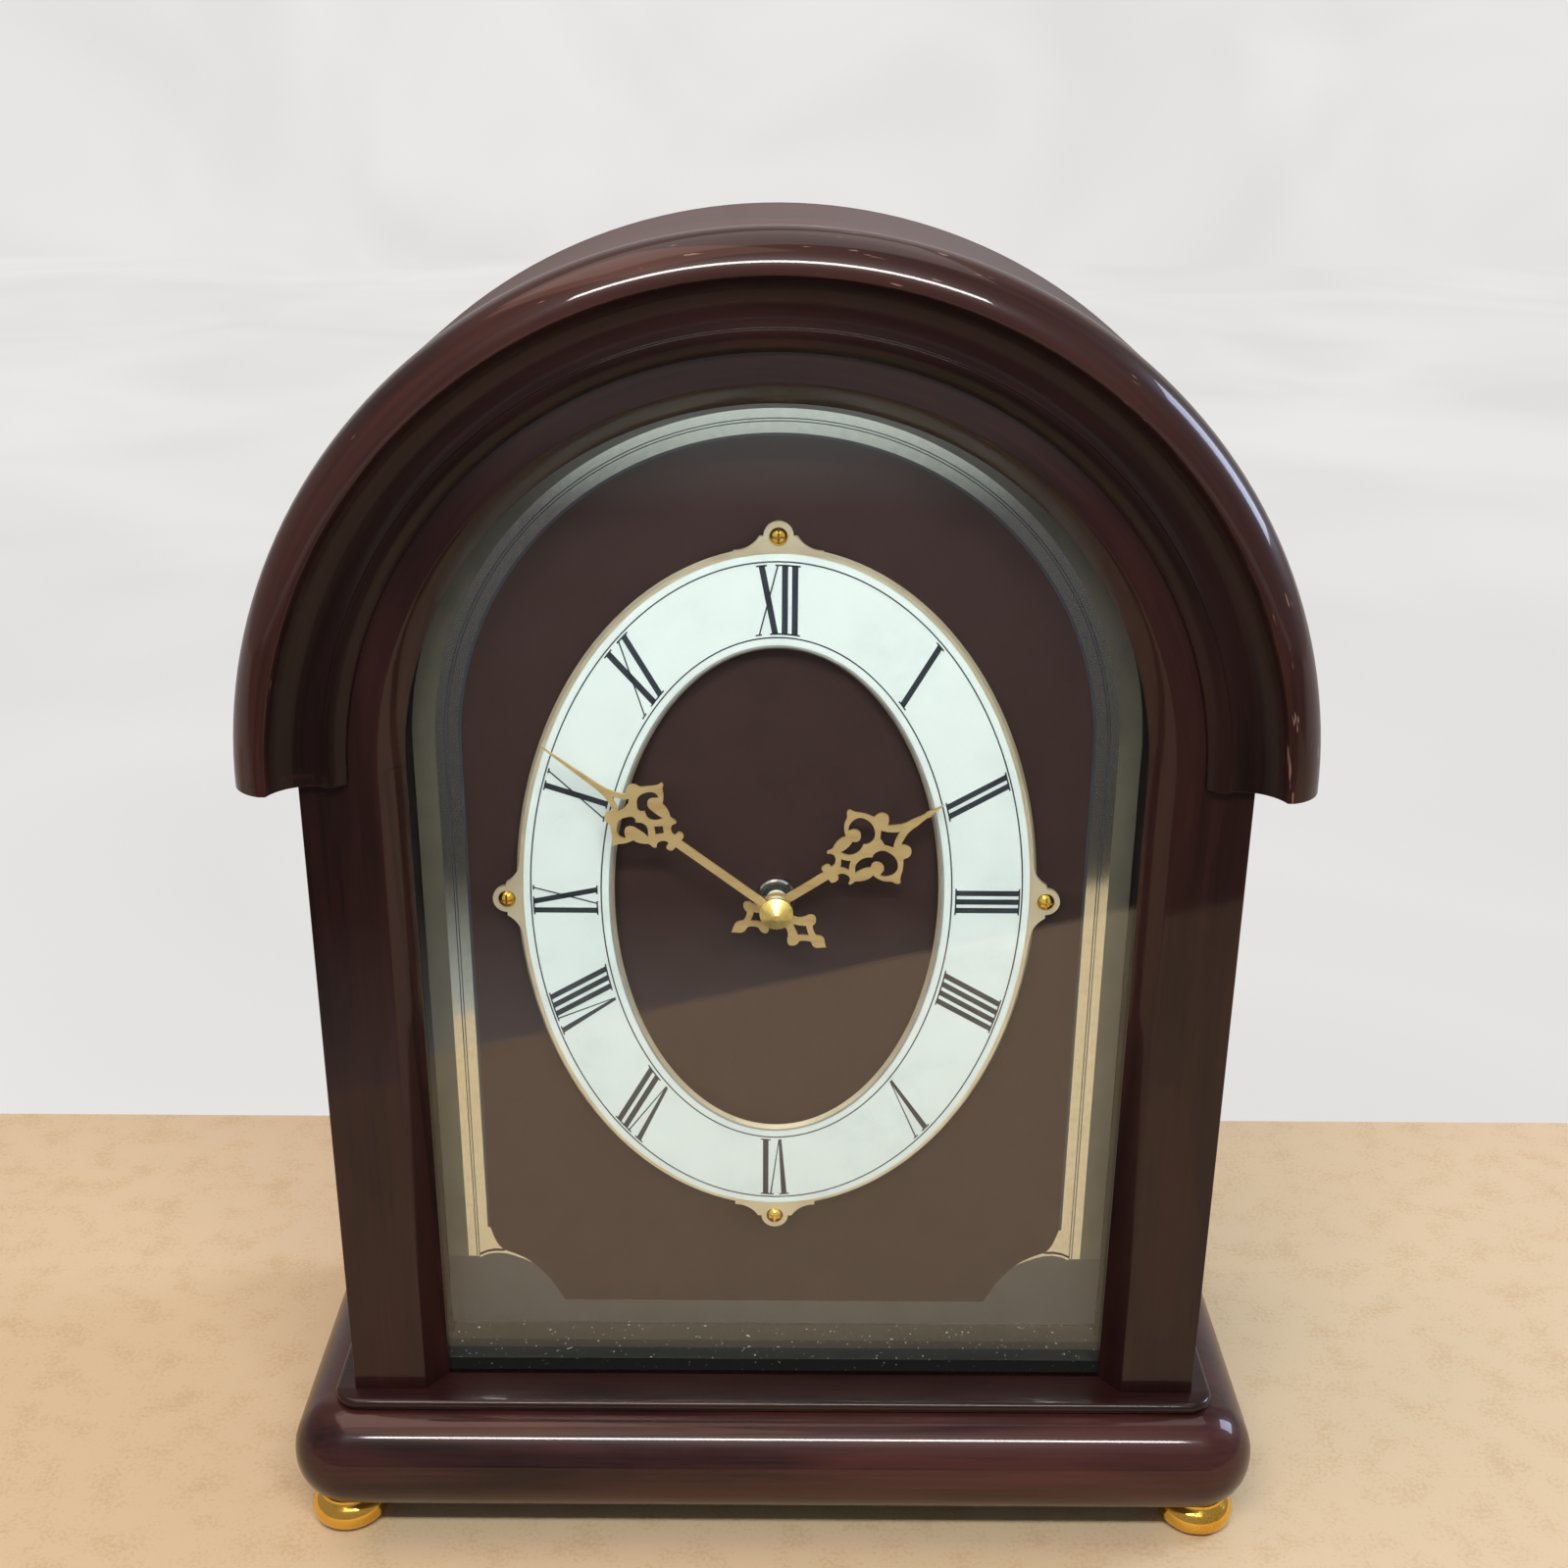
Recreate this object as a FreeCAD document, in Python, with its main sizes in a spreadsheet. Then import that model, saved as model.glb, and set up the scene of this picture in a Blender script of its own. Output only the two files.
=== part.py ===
import FreeCAD, Part
import math
import os
import Sketcher

# A round-arched wooden shelf clock with a quartz chime movement, in millimetres.
# +Z is up, -Y is the dial side, and the origin is on the floor under the middle of the clock.

doc = FreeCAD.newDocument("shelf_clock")
sheet = doc.addObject("Spreadsheet::Sheet", "sizes")

SIZES = {
    # moulded base and feet
    "base_width": 256, "base_depth": 128, "base_height": 29, "base_corner": 16,
    "base_rounding": 14.2, "base_projection": 16,
    "foot_height": 9, "foot_radius": 10.2, "foot_side_inset": 13, "foot_front_inset": 16,
    "foot_sole": 6.6, "foot_neck": 6.2, "foot_neck_height": 1.4, "foot_belly_height": 3.8,
    "foot_screw_radius": 2, "foot_screw_head": 3.8, "foot_screw_head_height": 2.4,
    "foot_screw_length": 22, "foot_recess": 3,
    "tier_height": 3, "tier_overhang": 5.5, "tier_corner": 7, "tier_rounding": 1.3,
    # case: front frame, hood, shell and back
    "case_width": 222, "case_depth": 108, "case_wall": 10, "arch_height": 173,
    "frame_depth": 24, "opening_radius": 87, "bevel_radius": 92.3, "bevel_step": 0.9,
    "bevel_run": 4.4, "bevel_depth": 5.2, "lip_depth": 6.4, "glass_rabbet": 4.2,
    "glass_thickness": 2.8, "glass_play": 0.3, "bead_width": 3.3, "bead_depth": 3,
    "sill_height": 3.8, "sill_play": 0.2,
    "hood_overhang": 14, "hood_length": 58, "hood_nose": 9.5, "hood_lap": 11.8,
    "nose_width": 7.4, "nose_length": 11.2, "nose_curve": 10.4, "nose_flat": 1.6,
    "cove_width": 11.6, "cove_depth": 6.9, "cove_curve": 10, "bead_step": 0.9,
    "bead_curve": 6.2, "hood_back_rounding": 1.8,
    "rear_hood_radius": 121, "rear_hood_rounding": 3,
    "rebate_depth": 8, "rebate_width": 5, "panel_thickness": 3, "panel_play": 0.2,
    "batten_depth": 10, "batten_height": 10, "batten_width": 190,
    "panel_screw_radius": 1.2, "panel_screw_head": 2.4, "panel_screw_head_height": 1.4,
    "panel_screw_length": 9,
    # access door in the back panel
    "door_width": 118, "door_rise": 4, "door_play": 0.8, "door_sill": 67,
    "hinge_barrel": 1.5, "hinge_pin": 0.7, "hinge_leaf": 0.8, "hinge_leaf_width": 9,
    "hinge_height": 21, "hinge_knuckle": 6.8, "hinge_inset": 12, "hinge_play": 0.05,
    "hinge_screw_radius": 1, "hinge_screw_head": 1.9, "hinge_screw_head_height": 0.6,
    "hinge_screw_length": 2.6, "hinge_screw_spread": 13,
    "door_knob_radius": 5, "door_knob_stem": 2, "door_knob_length": 6, "door_knob_inset": 9,
    "catch_width": 12, "catch_depth": 7, "catch_flange": 12, "catch_flange_thickness": 2,
    "catch_height": 14, "strike_thickness": 0.8, "strike_width": 9,
    # dial plate and chapter ring
    "dial_thickness": 2, "dial_margin": 3, "dial_foot_gap": 0.5, "shaft_drop": 38.5,
    "dial_screw_radius": 1.5, "dial_screw_head": 3, "dial_screw_head_height": 1.8,
    "dial_screw_length": 12, "dial_screw_inset": 3.4,
    "ring_half_width": 64.6, "ring_half_height": 90, "ring_hole_half_width": 40.3,
    "ring_hole_half_height": 65.2, "ring_thickness": 1.2, "ring_chamfer": 0.7,
    "ring_standoff": 2.6, "lug_beyond_side": 2.4, "lug_beyond_top": 2.6, "lug_radius": 3.5,
    "lug_flare": 7, "lug_foot": 4, "post_radius": 2.3, "ring_screw_radius": 1.2, "ring_screw_head": 2.25,
    "ring_screw_dome": 1.3, "ring_screw_slot": 0.5, "ring_screw_slot_depth": 0.5,
    "hole_play": 0.1,
    # hands
    "hand_grid": 1, "hand_thickness": 0.6, "hand_hub": 3.4, "hour_hand_rise": 6,
    "minute_hand_rise": 10.1, "cap_radius": 4.1, "cap_height": 3.2, "cap_rim": 0.9,
    "nut_radius": 4.9, "nut_height": 2.2, "nut_chamfer": 0.4,
    # quartz chime movement
    "box_width": 112, "box_height": 96, "box_depth": 29, "box_wall": 2, "box_drop": 59.5,
    "gasket_thickness": 1, "gasket_radius": 12, "bush_radius": 4, "bush_bore": 2.7, "bush_length": 6.2,
    "cover_thickness": 2, "boss_radius": 2.2, "boss_length": 3, "bearing_depth": 1.2,
    "battery_radius": 12.9, "battery_length": 47, "battery_nub": 3.2, "battery_nub_length": 2,
    "trough_height": 27, "trough_wall": 4, "contact_thickness": 0.6, "contact_width": 12,
    "contact_spring": 4, "trough_play": 0.3,
    "running_play": 0.06,
    "minute_arbor": 1.5, "hour_pipe": 2.6, "hour_pipe_bore": 1.56,
    "motion_module": 0.6, "hour_module": 0.48, "centre_module": 0.38, "third_module": 0.25,
    "wheel_thickness": 1.4, "pinion_length": 2.2,
    "hour_wheel_plane": 3.6, "motion_plane": 6.4, "centre_plane": 10.6, "third_plane": 14.4,
    "third_arbor": 0.8, "rotor_arbor": 0.5, "motion_arbor": 1.1,
    "rotor_radius": 3, "rotor_length": 3, "rotor_plane": 18.4,
    "stator_thickness": 1, "stator_gap": 0.6, "stator_length": 32, "stator_width": 9,
    "coil_radius": 4.6, "coil_length": 20, "coil_core": 1.6, "coil_flange": 1.2,
    "board_width": 29, "board_height": 46, "board_thickness": 1.4, "board_standoff": 5,
    "board_inset": 6, "board_post": 2, "chip_size": 9, "chip_height": 1.6,
    "set_knob_radius": 7.5, "set_knob_length": 7, "set_knob_gap": 0.8, "set_knob_grip": 0.7,
    "switch_travel": 8, "switch_width": 6, "switch_height": 3.4, "switch_rise": 3,
    "switch_side": 34, "switch_above": 25, "switch_flange": 1.6, "switch_depth": 1.2,
    "volume_radius": 6, "volume_rise": 3.2, "volume_side": 34, "volume_above": 6,
    "volume_stem": 1.6, "volume_stem_length": 7,
    "box_screw_radius": 1.2, "box_screw_head": 2.3, "box_screw_head_height": 1.5,
    "box_screw_length": 9, "box_screw_inset": 5,
    # loudspeaker for the chime
    "speaker_radius": 28.5, "speaker_head_gap": 24.5, "speaker_flange": 1.2, "speaker_depth": 12,
    "speaker_neck": 14, "magnet_radius": 16, "magnet_height": 7, "cone_thickness": 0.6,
    "cone_radius": 25, "cone_apex": 8, "cone_depth": 7, "speaker_screw_radius": 1.2,
    "speaker_screw_head": 2.4, "speaker_screw_head_height": 1.4, "speaker_screw_length": 3.6,
    "speaker_ear": 4, "grille_hole": 2, "grille_pitch": 5.6, "lead_radius": 1.1,
    "lead_exit_side": 30, "terminal_width": 6, "terminal_height": 8, "terminal_thickness": 1.6,
    # cuts reach this far past the faces that they open
    "overrun": 1,
}


class Size:
    """A length with its number and the sheet expression that gives it."""

    def __init__(self, number, text):
        self.number = number
        self.text = text

    def __float__(self):
        return float(self.number)

    def __add__(self, other):
        other = as_size(other)
        return Size(self.number + other.number, "(%s + %s)" % (self.text, other.text))

    def __sub__(self, other):
        other = as_size(other)
        return Size(self.number - other.number, "(%s - %s)" % (self.text, other.text))

    def __mul__(self, factor):
        factor = as_size(factor)
        return Size(self.number * factor.number, "(%s * %s)" % (self.text, factor.text))

    def __truediv__(self, factor):
        factor = as_size(factor)
        return Size(self.number / factor.number, "(%s / %s)" % (self.text, factor.text))

    def __neg__(self):
        return Size(-self.number, "(0 - %s)" % self.text)

    __radd__ = __add__
    __rmul__ = __mul__


def as_size(value):
    if isinstance(value, Size):
        return value
    return Size(value, "%.9f" % value if value else "0")


class Sizes:
    """The driving dimensions, read back from the sheet by name."""

    def __getattr__(self, name):
        return Size(float(sheet.get(name)), "sizes." + name)


for row, (alias, value) in enumerate(SIZES.items(), 1):
    sheet.set("A%d" % row, alias)
    sheet.set("B%d" % row, str(value))
    sheet.setAlias("B%d" % row, alias)
doc.recompute()
s = Sizes()
ZERO = as_size(0)

# planes and centres that several pieces share
front = s.base_projection - s.base_depth / 2
rear = front + s.case_depth
tier_foot = s.foot_height + s.base_height
floor_z = tier_foot + s.tier_height
arch_z = floor_z + s.arch_height
shaft_z = arch_z - s.shaft_drop
half_case = s.case_width / 2
inner_half = half_case - s.case_wall
hood_radius = half_case + s.hood_overhang
glass_front = front + s.lip_depth
glass_back = glass_front + s.glass_thickness
dial_front = front + s.frame_depth
dial_back = dial_front + s.dial_thickness
box_front = dial_back + s.gasket_thickness
box_back = box_front + s.box_depth
cover_back = box_back + s.cover_thickness
box_foot = shaft_z - s.box_drop
box_top = box_foot + s.box_height
panel_front = rear - s.rebate_depth
panel_back = panel_front + s.panel_thickness
lug_reach_side = s.ring_half_width + s.lug_beyond_side
lug_reach_top = s.ring_half_height + s.lug_beyond_top
door_height = s.arch_height + s.door_rise - s.door_sill
speaker_z = arch_z + inner_half - s.speaker_radius - s.speaker_head_gap


# Bound primitives: every length and place is an expression on the sheet.

ABOUT_X = FreeCAD.Vector(1, 0, 0)
ABOUT_Y = FreeCAD.Vector(0, 1, 0)
ABOUT_Z = FreeCAD.Vector(0, 0, 1)
TURNS = {
    "z": FreeCAD.Rotation(),
    "y": FreeCAD.Rotation(ABOUT_X, -90),
    "x": FreeCAD.Rotation(ABOUT_Y, 90),
}
nodes = []


def place(item, x, y, z, rotation=None):
    if rotation:
        item.Placement = FreeCAD.Placement(FreeCAD.Vector(), rotation)
    for axis, value in zip("xyz", (x, y, z)):
        item.setExpression("Placement.Base." + axis, as_size(value).text)
    return item


def bind(item, **values):
    for name, value in values.items():
        item.setExpression(name, as_size(value).text)
    return item


def box(x, y, z):
    """A block between two planes along each axis."""
    item = doc.addObject("Part::Box", "block")
    bind(item, Length=x[1] - x[0], Width=y[1] - y[0], Height=z[1] - z[0])
    return place(item, x[0], y[0], z[0])


def round_bar(axis, radius, span, a, b):
    """A cylinder along an axis; a and b are its other two coordinates in x, y, z order."""
    item = doc.addObject("Part::Cylinder", "bar")
    bind(item, Radius=radius, Height=span[1] - span[0])
    spot = {"x": (span[0], a, b), "y": (a, span[0], b), "z": (a, b, span[0])}[axis]
    return place(item, *spot, TURNS[axis])


def taper(axis, radius_a, radius_b, span, a, b):
    item = doc.addObject("Part::Cone", "taper")
    bind(item, Radius1=radius_a, Radius2=radius_b, Height=span[1] - span[0])
    spot = {"x": (span[0], a, b), "y": (a, span[0], b), "z": (a, b, span[0])}[axis]
    return place(item, *spot, TURNS[axis])


def fuse(*items):
    item = doc.addObject("Part::MultiFuse", "fusion")
    item.Shapes = list(items)
    item.Refine = True
    return item


def cut(base, *tools):
    item = doc.addObject("Part::Cut", "cut")
    item.Base = base
    item.Tool = tools[0] if len(tools) == 1 else group(*tools)
    item.Refine = True
    return item


def common(base, tool):
    item = doc.addObject("Part::Common", "overlap")
    item.Base = base
    item.Tool = tool
    return item


def group(*items):
    """Separate solids that share one node."""
    item = doc.addObject("Part::Compound", "set")
    item.Links = list(items)
    return item


def node(label, item):
    item.Label = label
    nodes.append(item)
    return item


def arch_plate(half_width, foot, y):
    """A plate with a straight-sided foot and a half-round top about the arch centre."""
    straight = box((-half_width, half_width), y, (foot, arch_z))
    return fuse(straight, round_bar("y", half_width, y, ZERO, arch_z))


# Sketches: each corner is pinned to the sheet, each arc by its radius.

def new_sketch(owner, role, offset):
    """A sketch on one of a body's origin planes, moved off it by a bound offset."""
    sketch = owner.newObject("Sketcher::SketchObject", "outline")
    plane = [f for f in owner.Origin.OriginFeatures if f.Role == role][0]
    sketch.AttachmentSupport = [(plane, "")]
    sketch.MapMode = "FlatFace"
    sketch.setExpression("AttachmentOffset.Base.z", as_size(offset).text)
    return sketch


def pin(sketch, geometry, end, x, y):
    for kind, axis, value in (("DistanceX", -2, x), ("DistanceY", -1, y)):
        value = as_size(value)
        if value.number == 0:
            sketch.addConstraint(Sketcher.Constraint("PointOnObject", geometry, end, axis))
        else:
            rule = Sketcher.Constraint(kind, geometry, end, value.number)
            sketch.setExpression("Constraints[%d]" % sketch.addConstraint(rule), value.text)


def arc_centre(a, b, radius, side):
    """The centre of the arc from a to b; side 1 puts it to the left of that run."""
    middle = (a + b) / 2
    run = b - a
    normal = FreeCAD.Vector(-run.y, run.x, 0).normalize()
    reach = math.sqrt(max(radius ** 2 - (run.Length / 2) ** 2, 0))
    return middle + normal * side * reach


def outline(sketch, corners):
    """A closed outline. A corner is (x, y), or (x, y, radius, side) for an arc that ends there."""
    spots = [FreeCAD.Vector(float(c[0]), float(c[1]), 0) for c in corners]
    first = sketch.GeometryCount
    for index, corner in enumerate(corners):
        a, b = spots[index - 1], spots[index]
        if len(corner) == 2:
            sketch.addGeometry(Part.LineSegment(a, b))
            continue
        radius, side = corner[2], corner[3]
        centre = arc_centre(a, b, float(radius), side)
        start = math.atan2(a.y - centre.y, a.x - centre.x)
        end = math.atan2(b.y - centre.y, b.x - centre.x)
        circle = Part.Circle(centre, ABOUT_Z, float(radius))
        sweep = (start, end) if side > 0 else (end, start)
        sketch.addGeometry(Part.ArcOfCircle(circle, *sweep))
    count = len(corners)
    for index, corner in enumerate(corners):
        here = first + index
        after = first + (index + 1) % count
        head = 2 if len(corner) == 2 or corner[3] > 0 else 1
        following = corners[(index + 1) % count]
        tail = 1 if len(following) == 2 or following[3] > 0 else 2
        sketch.addConstraint(Sketcher.Constraint("Coincident", here, head, after, tail))
        pin(sketch, here, head, corner[0], corner[1])
        if len(corner) > 2:
            rule = Sketcher.Constraint("Radius", here, float(corner[2]))
            sketch.setExpression("Constraints[%d]" % sketch.addConstraint(rule), corner[2].text)


def add_circle(sketch, x, y, radius):
    spot = FreeCAD.Vector(float(x), float(y), 0)
    item = sketch.addGeometry(Part.Circle(spot, ABOUT_Z, float(radius)))
    pin(sketch, item, 3, x, y)
    rule = Sketcher.Constraint("Radius", item, float(radius))
    sketch.setExpression("Constraints[%d]" % sketch.addConstraint(rule), radius.text)


def pad(owner, sketch, length, reverse=False):
    item = owner.newObject("PartDesign::Pad", "pad")
    item.Profile = sketch
    item.Reversed = reverse
    item.setExpression("Length", length.text)
    return item


def pocket(owner, sketch, length, reverse=False):
    item = owner.newObject("PartDesign::Pocket", "pocket")
    item.Profile = sketch
    item.Reversed = reverse
    item.setExpression("Length", length.text)
    return item


def round_edges(owner, base, radius, wanted):
    """A fillet on the edges that the wanted test picks."""
    doc.recompute()
    names = ["Edge%d" % i for i, edge in enumerate(base.Shape.Edges, 1) if wanted(edge)]
    item = owner.newObject("PartDesign::Fillet", "rounding")
    item.Base = (base, names)
    item.setExpression("Radius", radius.text)
    return item


def new_body(label):
    item = doc.addObject("PartDesign::Body", label)
    return node(label, item)


def turned(label, axis, points, x, y, z):
    """A piece turned on a lathe: points are (radius, along), as outline takes them."""
    owner = new_body(label)
    return turn_in(owner, axis, points, x, y, z)


def turn_in(owner, axis, points, x, y, z):
    sketch = new_sketch(owner, "XZ_Plane", ZERO)
    outline(sketch, points)
    item = owner.newObject("PartDesign::Revolution", "turning")
    item.Profile = sketch
    item.ReferenceAxis = (sketch, ["V_Axis"])
    item.Angle = 360
    owner.Tip = item
    return place(owner, x, y, z, TURNS[axis])


# Sections that run round the arch, and down both sides where the piece has legs.

def arch_section(points):
    """A closed section in the plane of the springing line, left of the centre."""
    owner = doc.addObject("Sketcher::SketchObject", "section")
    mirrored = [(-p[0], p[1]) + ((p[2], -p[3]) if len(p) > 2 else ()) for p in points]
    outline(owner, mirrored)
    return place(owner, ZERO, ZERO, arch_z)


def arch_turn(section):
    item = doc.addObject("Part::Revolution", "arch")
    item.Source = section
    item.Axis = ABOUT_Y
    item.Angle = 180
    item.Solid = True
    item.setExpression("Base.z", arch_z.text)
    return item


def leg(section, foot, mirrored=False):
    item = doc.addObject("Part::Extrusion", "leg")
    item.Base = section
    item.DirMode = "Custom"
    item.Dir = -ABOUT_Z
    item.Solid = True
    item.setExpression("LengthFwd", (arch_z - foot).text)
    if not mirrored:
        return item
    twin = doc.addObject("Part::Mirroring", "right_leg")
    twin.Source = item
    twin.Normal = ABOUT_X
    return twin


def arched_frame(points, foot):
    section = arch_section(points)
    return fuse(arch_turn(section), leg(section, foot), leg(section, foot, True))


def ring_section(outer, inner, y0, y1):
    return [(outer, y0), (outer, y1), (inner, y1), (inner, y0)]


# Base and feet

def make_base():
    owner = new_body("base_plinth")
    half, front_y, back_y = s.base_width / 2, -s.base_depth / 2, s.base_depth / 2
    sketch = new_sketch(owner, "XY_Plane", s.foot_height)
    outline(sketch, [
        (half, back_y), (-half, back_y), (-half, front_y + s.base_corner),
        (-half + s.base_corner, front_y, s.base_corner, 1),
        (half - s.base_corner, front_y), (half, front_y + s.base_corner, s.base_corner, 1)])
    block = pad(owner, sketch, s.base_height)

    def outer_edge(edge):
        level = abs(edge.BoundBox.ZLength) < 1e-6
        return level and edge.BoundBox.YMin < float(back_y) - 1e-3
    owner.Tip = round_edges(owner, block, s.base_rounding, outer_edge)

    holes = new_sketch(owner, "XY_Plane", s.foot_height)
    for x, y in foot_spots():
        add_circle(holes, x, y, s.foot_screw_radius)
    owner.Tip = pocket(owner, holes, s.foot_screw_length - s.foot_height + s.foot_recess, True)


def foot_spots():
    side = s.base_width / 2 - s.foot_side_inset
    depth = s.base_depth / 2 - s.foot_front_inset
    return [(-side, -depth), (side, -depth), (-side, depth), (side, depth)]


def make_tier():
    owner = new_body("base_top_plate")
    half = half_case + s.tier_overhang
    front_y, back_y = front - s.tier_overhang, rear
    sketch = new_sketch(owner, "XY_Plane", tier_foot)
    outline(sketch, [
        (half, back_y), (-half, back_y), (-half, front_y + s.tier_corner),
        (-half + s.tier_corner, front_y, s.tier_corner, 1),
        (half - s.tier_corner, front_y), (half, front_y + s.tier_corner, s.tier_corner, 1)])
    plate = pad(owner, sketch, s.tier_height)

    def upper_edge(edge):
        level = abs(edge.BoundBox.ZLength) < 1e-6 and edge.BoundBox.ZMin > float(tier_foot) + 1e-3
        return level and edge.BoundBox.YMin < float(back_y) - 1e-3
    owner.Tip = round_edges(owner, plate, s.tier_rounding, upper_edge)


def make_feet():
    names = ("foot_front_left", "foot_front_right", "foot_rear_left", "foot_rear_right")
    neck_z = s.foot_height - s.foot_neck_height
    lower, upper = s.foot_belly_height, neck_z - s.foot_belly_height
    screws = []
    for label, (x, y) in zip(names, foot_spots()):
        turned(label, "z", [
            (s.foot_screw_radius, s.foot_recess), (s.foot_screw_head + s.hole_play, s.foot_recess),
            (s.foot_screw_head + s.hole_play, ZERO), (s.foot_sole, ZERO),
            (s.foot_radius, lower, lower * 1.12, 1),
            (s.foot_neck + s.foot_neck_height / 2, neck_z, upper * 1.2, 1),
            (s.foot_neck, neck_z), (s.foot_neck, s.foot_height),
            (s.foot_screw_radius, s.foot_height)], x, y, ZERO)
        head_z = s.foot_recess - s.foot_screw_head_height
        head = round_bar("z", s.foot_screw_head, (head_z, s.foot_recess), x, y)
        shank = round_bar("z", s.foot_screw_radius, (s.foot_recess, s.foot_screw_length), x, y)
        screws.append(fuse(head, shank))
    node("foot_screws", group(*screws))


# Case

def make_front_frame():
    lip = glass_front
    bore = s.opening_radius + s.glass_rabbet
    step = s.bevel_radius - s.bevel_step
    frame = arched_frame([
        (half_case, front), (s.bevel_radius, front), (step, front + s.bevel_step),
        (s.bevel_radius - s.bevel_run, front + s.bevel_depth), (s.opening_radius, lip),
        (bore, lip), (bore, dial_front), (half_case, dial_front)], floor_z)
    pilots = []
    for x, z in dial_screw_spots():
        depth = (dial_back - s.dial_screw_length, dial_front + s.overrun)
        pilots.append(round_bar("y", s.dial_screw_radius, depth, x, z))
    node("front_frame", cut(frame, *pilots))


def make_glass():
    radius = s.opening_radius + s.glass_rabbet - s.glass_play
    plate = arch_plate(radius, floor_z, (glass_front, glass_back))
    node("front_glass", plate)
    outer = s.opening_radius + s.glass_rabbet
    bead = ring_section(outer, outer - s.bead_width, glass_back, glass_back + s.bead_depth)
    node("glass_bead", arched_frame(bead, floor_z))
    half = outer - s.bead_width - s.sill_play
    sill_y = (glass_back, dial_front - s.sill_play)
    node("dial_sill", box((-half, half), sill_y, (floor_z, floor_z + s.sill_height)))


def make_hood():
    nose_y = front - s.hood_nose
    shoulder = hood_radius - s.nose_width
    cove_top = shoulder - s.nose_flat
    cove_foot = cove_top - s.cove_width
    cove_y = nose_y + s.cove_depth
    inner = half_case - s.hood_lap
    back_y = front + s.hood_length
    easing = s.hood_back_rounding
    section = arch_section([
        (hood_radius, nose_y + s.nose_length),
        (shoulder, nose_y, s.nose_curve, -1),
        (cove_top, nose_y),
        (cove_foot, cove_y, s.cove_curve, 1),
        (cove_foot, cove_y - s.bead_step),
        (inner, front - s.bead_step, s.bead_curve, -1),
        (inner, front), (half_case, front), (half_case, back_y),
        (hood_radius - easing, back_y), (hood_radius, back_y - easing, easing, -1)])
    node("hood_moulding", arch_turn(section))
    rounding = s.rear_hood_rounding
    section = arch_section([
        (s.rear_hood_radius, back_y), (half_case, back_y), (half_case, rear),
        (s.rear_hood_radius - rounding, rear),
        (s.rear_hood_radius, rear - rounding, rounding, -1)])
    node("hood_rear_band", arch_turn(section))


def make_shell():
    seat = inner_half + s.rebate_width
    shell = arched_frame([
        (half_case, dial_front), (inner_half, dial_front), (inner_half, panel_front),
        (seat, panel_front), (seat, rear), (half_case, rear)], floor_z)
    pilots = [pilot(x, z) for x, z in shell_screw_spots()]
    node("case_shell", cut(shell, *pilots))
    half = s.batten_width / 2
    batten = box((-half, half), (panel_front - s.batten_depth, panel_front),
                 (floor_z, floor_z + s.batten_height))
    node("back_batten", cut(batten, *[pilot(x, z) for x, z in batten_screw_spots()]))


def pilot(x, z):
    deep = panel_front - s.panel_screw_length + s.panel_thickness
    return round_bar("y", s.panel_screw_radius, (deep, panel_front + s.overrun), x, z)


def shell_screw_spots():
    """Screws on the shell's shoulder: two up each side and three round the arch."""
    radius = inner_half + s.rebate_width / 2
    spots = []
    for turn in (35, 90, 145):
        spots.append((radius * math.cos(math.radians(turn)), arch_z + radius * math.sin(math.radians(turn))))
    for side in (-1, 1):
        for rise_share in (0.3, 0.85):
            spots.append((radius * side, floor_z + s.arch_height * rise_share))
    return spots


def batten_screw_spots():
    side = s.batten_width / 3
    return [(side * turn, floor_z + s.batten_height / 2) for turn in (-1, 1)]


def make_back_panel():
    owner = new_body("back_panel")
    radius = inner_half + s.rebate_width - s.panel_play
    sketch = new_sketch(owner, "XZ_Plane", -panel_front)
    outline(sketch, [(radius, floor_z + s.panel_play), (radius, arch_z), (ZERO, arch_z + radius, radius, 1),
                     (-radius, arch_z, radius, 1), (-radius, floor_z + s.panel_play)])
    pad(owner, sketch, s.panel_thickness, True)
    half = s.door_width / 2
    opening = new_sketch(owner, "XZ_Plane", -panel_front)
    foot, top = floor_z + s.door_sill, floor_z + s.door_sill + door_height
    outline(opening, [(half, foot), (half, top), (-half, top), (-half, foot)])
    for x, z in shell_screw_spots() + batten_screw_spots():
        add_circle(opening, x, z, s.panel_screw_radius)
    for x, z in hinge_screw_spots(-1):
        add_circle(opening, x, z, s.hinge_screw_radius)
    for x, z in speaker_screw_spots():
        add_circle(opening, x, z, s.speaker_screw_radius)
    pocket(owner, opening, s.panel_thickness + s.overrun)
    sound = new_sketch(owner, "XZ_Plane", -panel_front)
    for turn_count, ring_count in ((1, 0), (6, 1), (12, 2), (18, 3)):
        for turn in range(turn_count):
            angle = 2 * math.pi * turn / turn_count
            reach = s.grille_pitch * ring_count
            add_circle(sound, reach * math.cos(angle), speaker_z + reach * math.sin(angle), s.grille_hole)
    owner.Tip = pocket(owner, sound, s.panel_thickness + s.overrun)
    screws = []
    for x, z in shell_screw_spots() + batten_screw_spots():
        screws.append(screw_y(s.panel_screw_radius, s.panel_screw_head, s.panel_screw_head_height,
                              s.panel_screw_length, panel_back, x, z))
    node("back_panel_screws", group(*screws))


def screw_y(radius, head, head_height, length, seat, x, z):
    """A pan-head screw driven in from the back, with its head on the seat plane."""
    shank = round_bar("y", radius, (seat - length, seat), x, z)
    cap = taper("y", head, head * 0.8, (seat, seat + head_height), x, z)
    slot_half = head * 0.13
    slot = box((x - head, x + head), (seat + head_height * 0.55, seat + head_height + s.overrun),
               (z - slot_half, z + slot_half))
    return cut(fuse(shank, cap), slot)


# Access door

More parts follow.
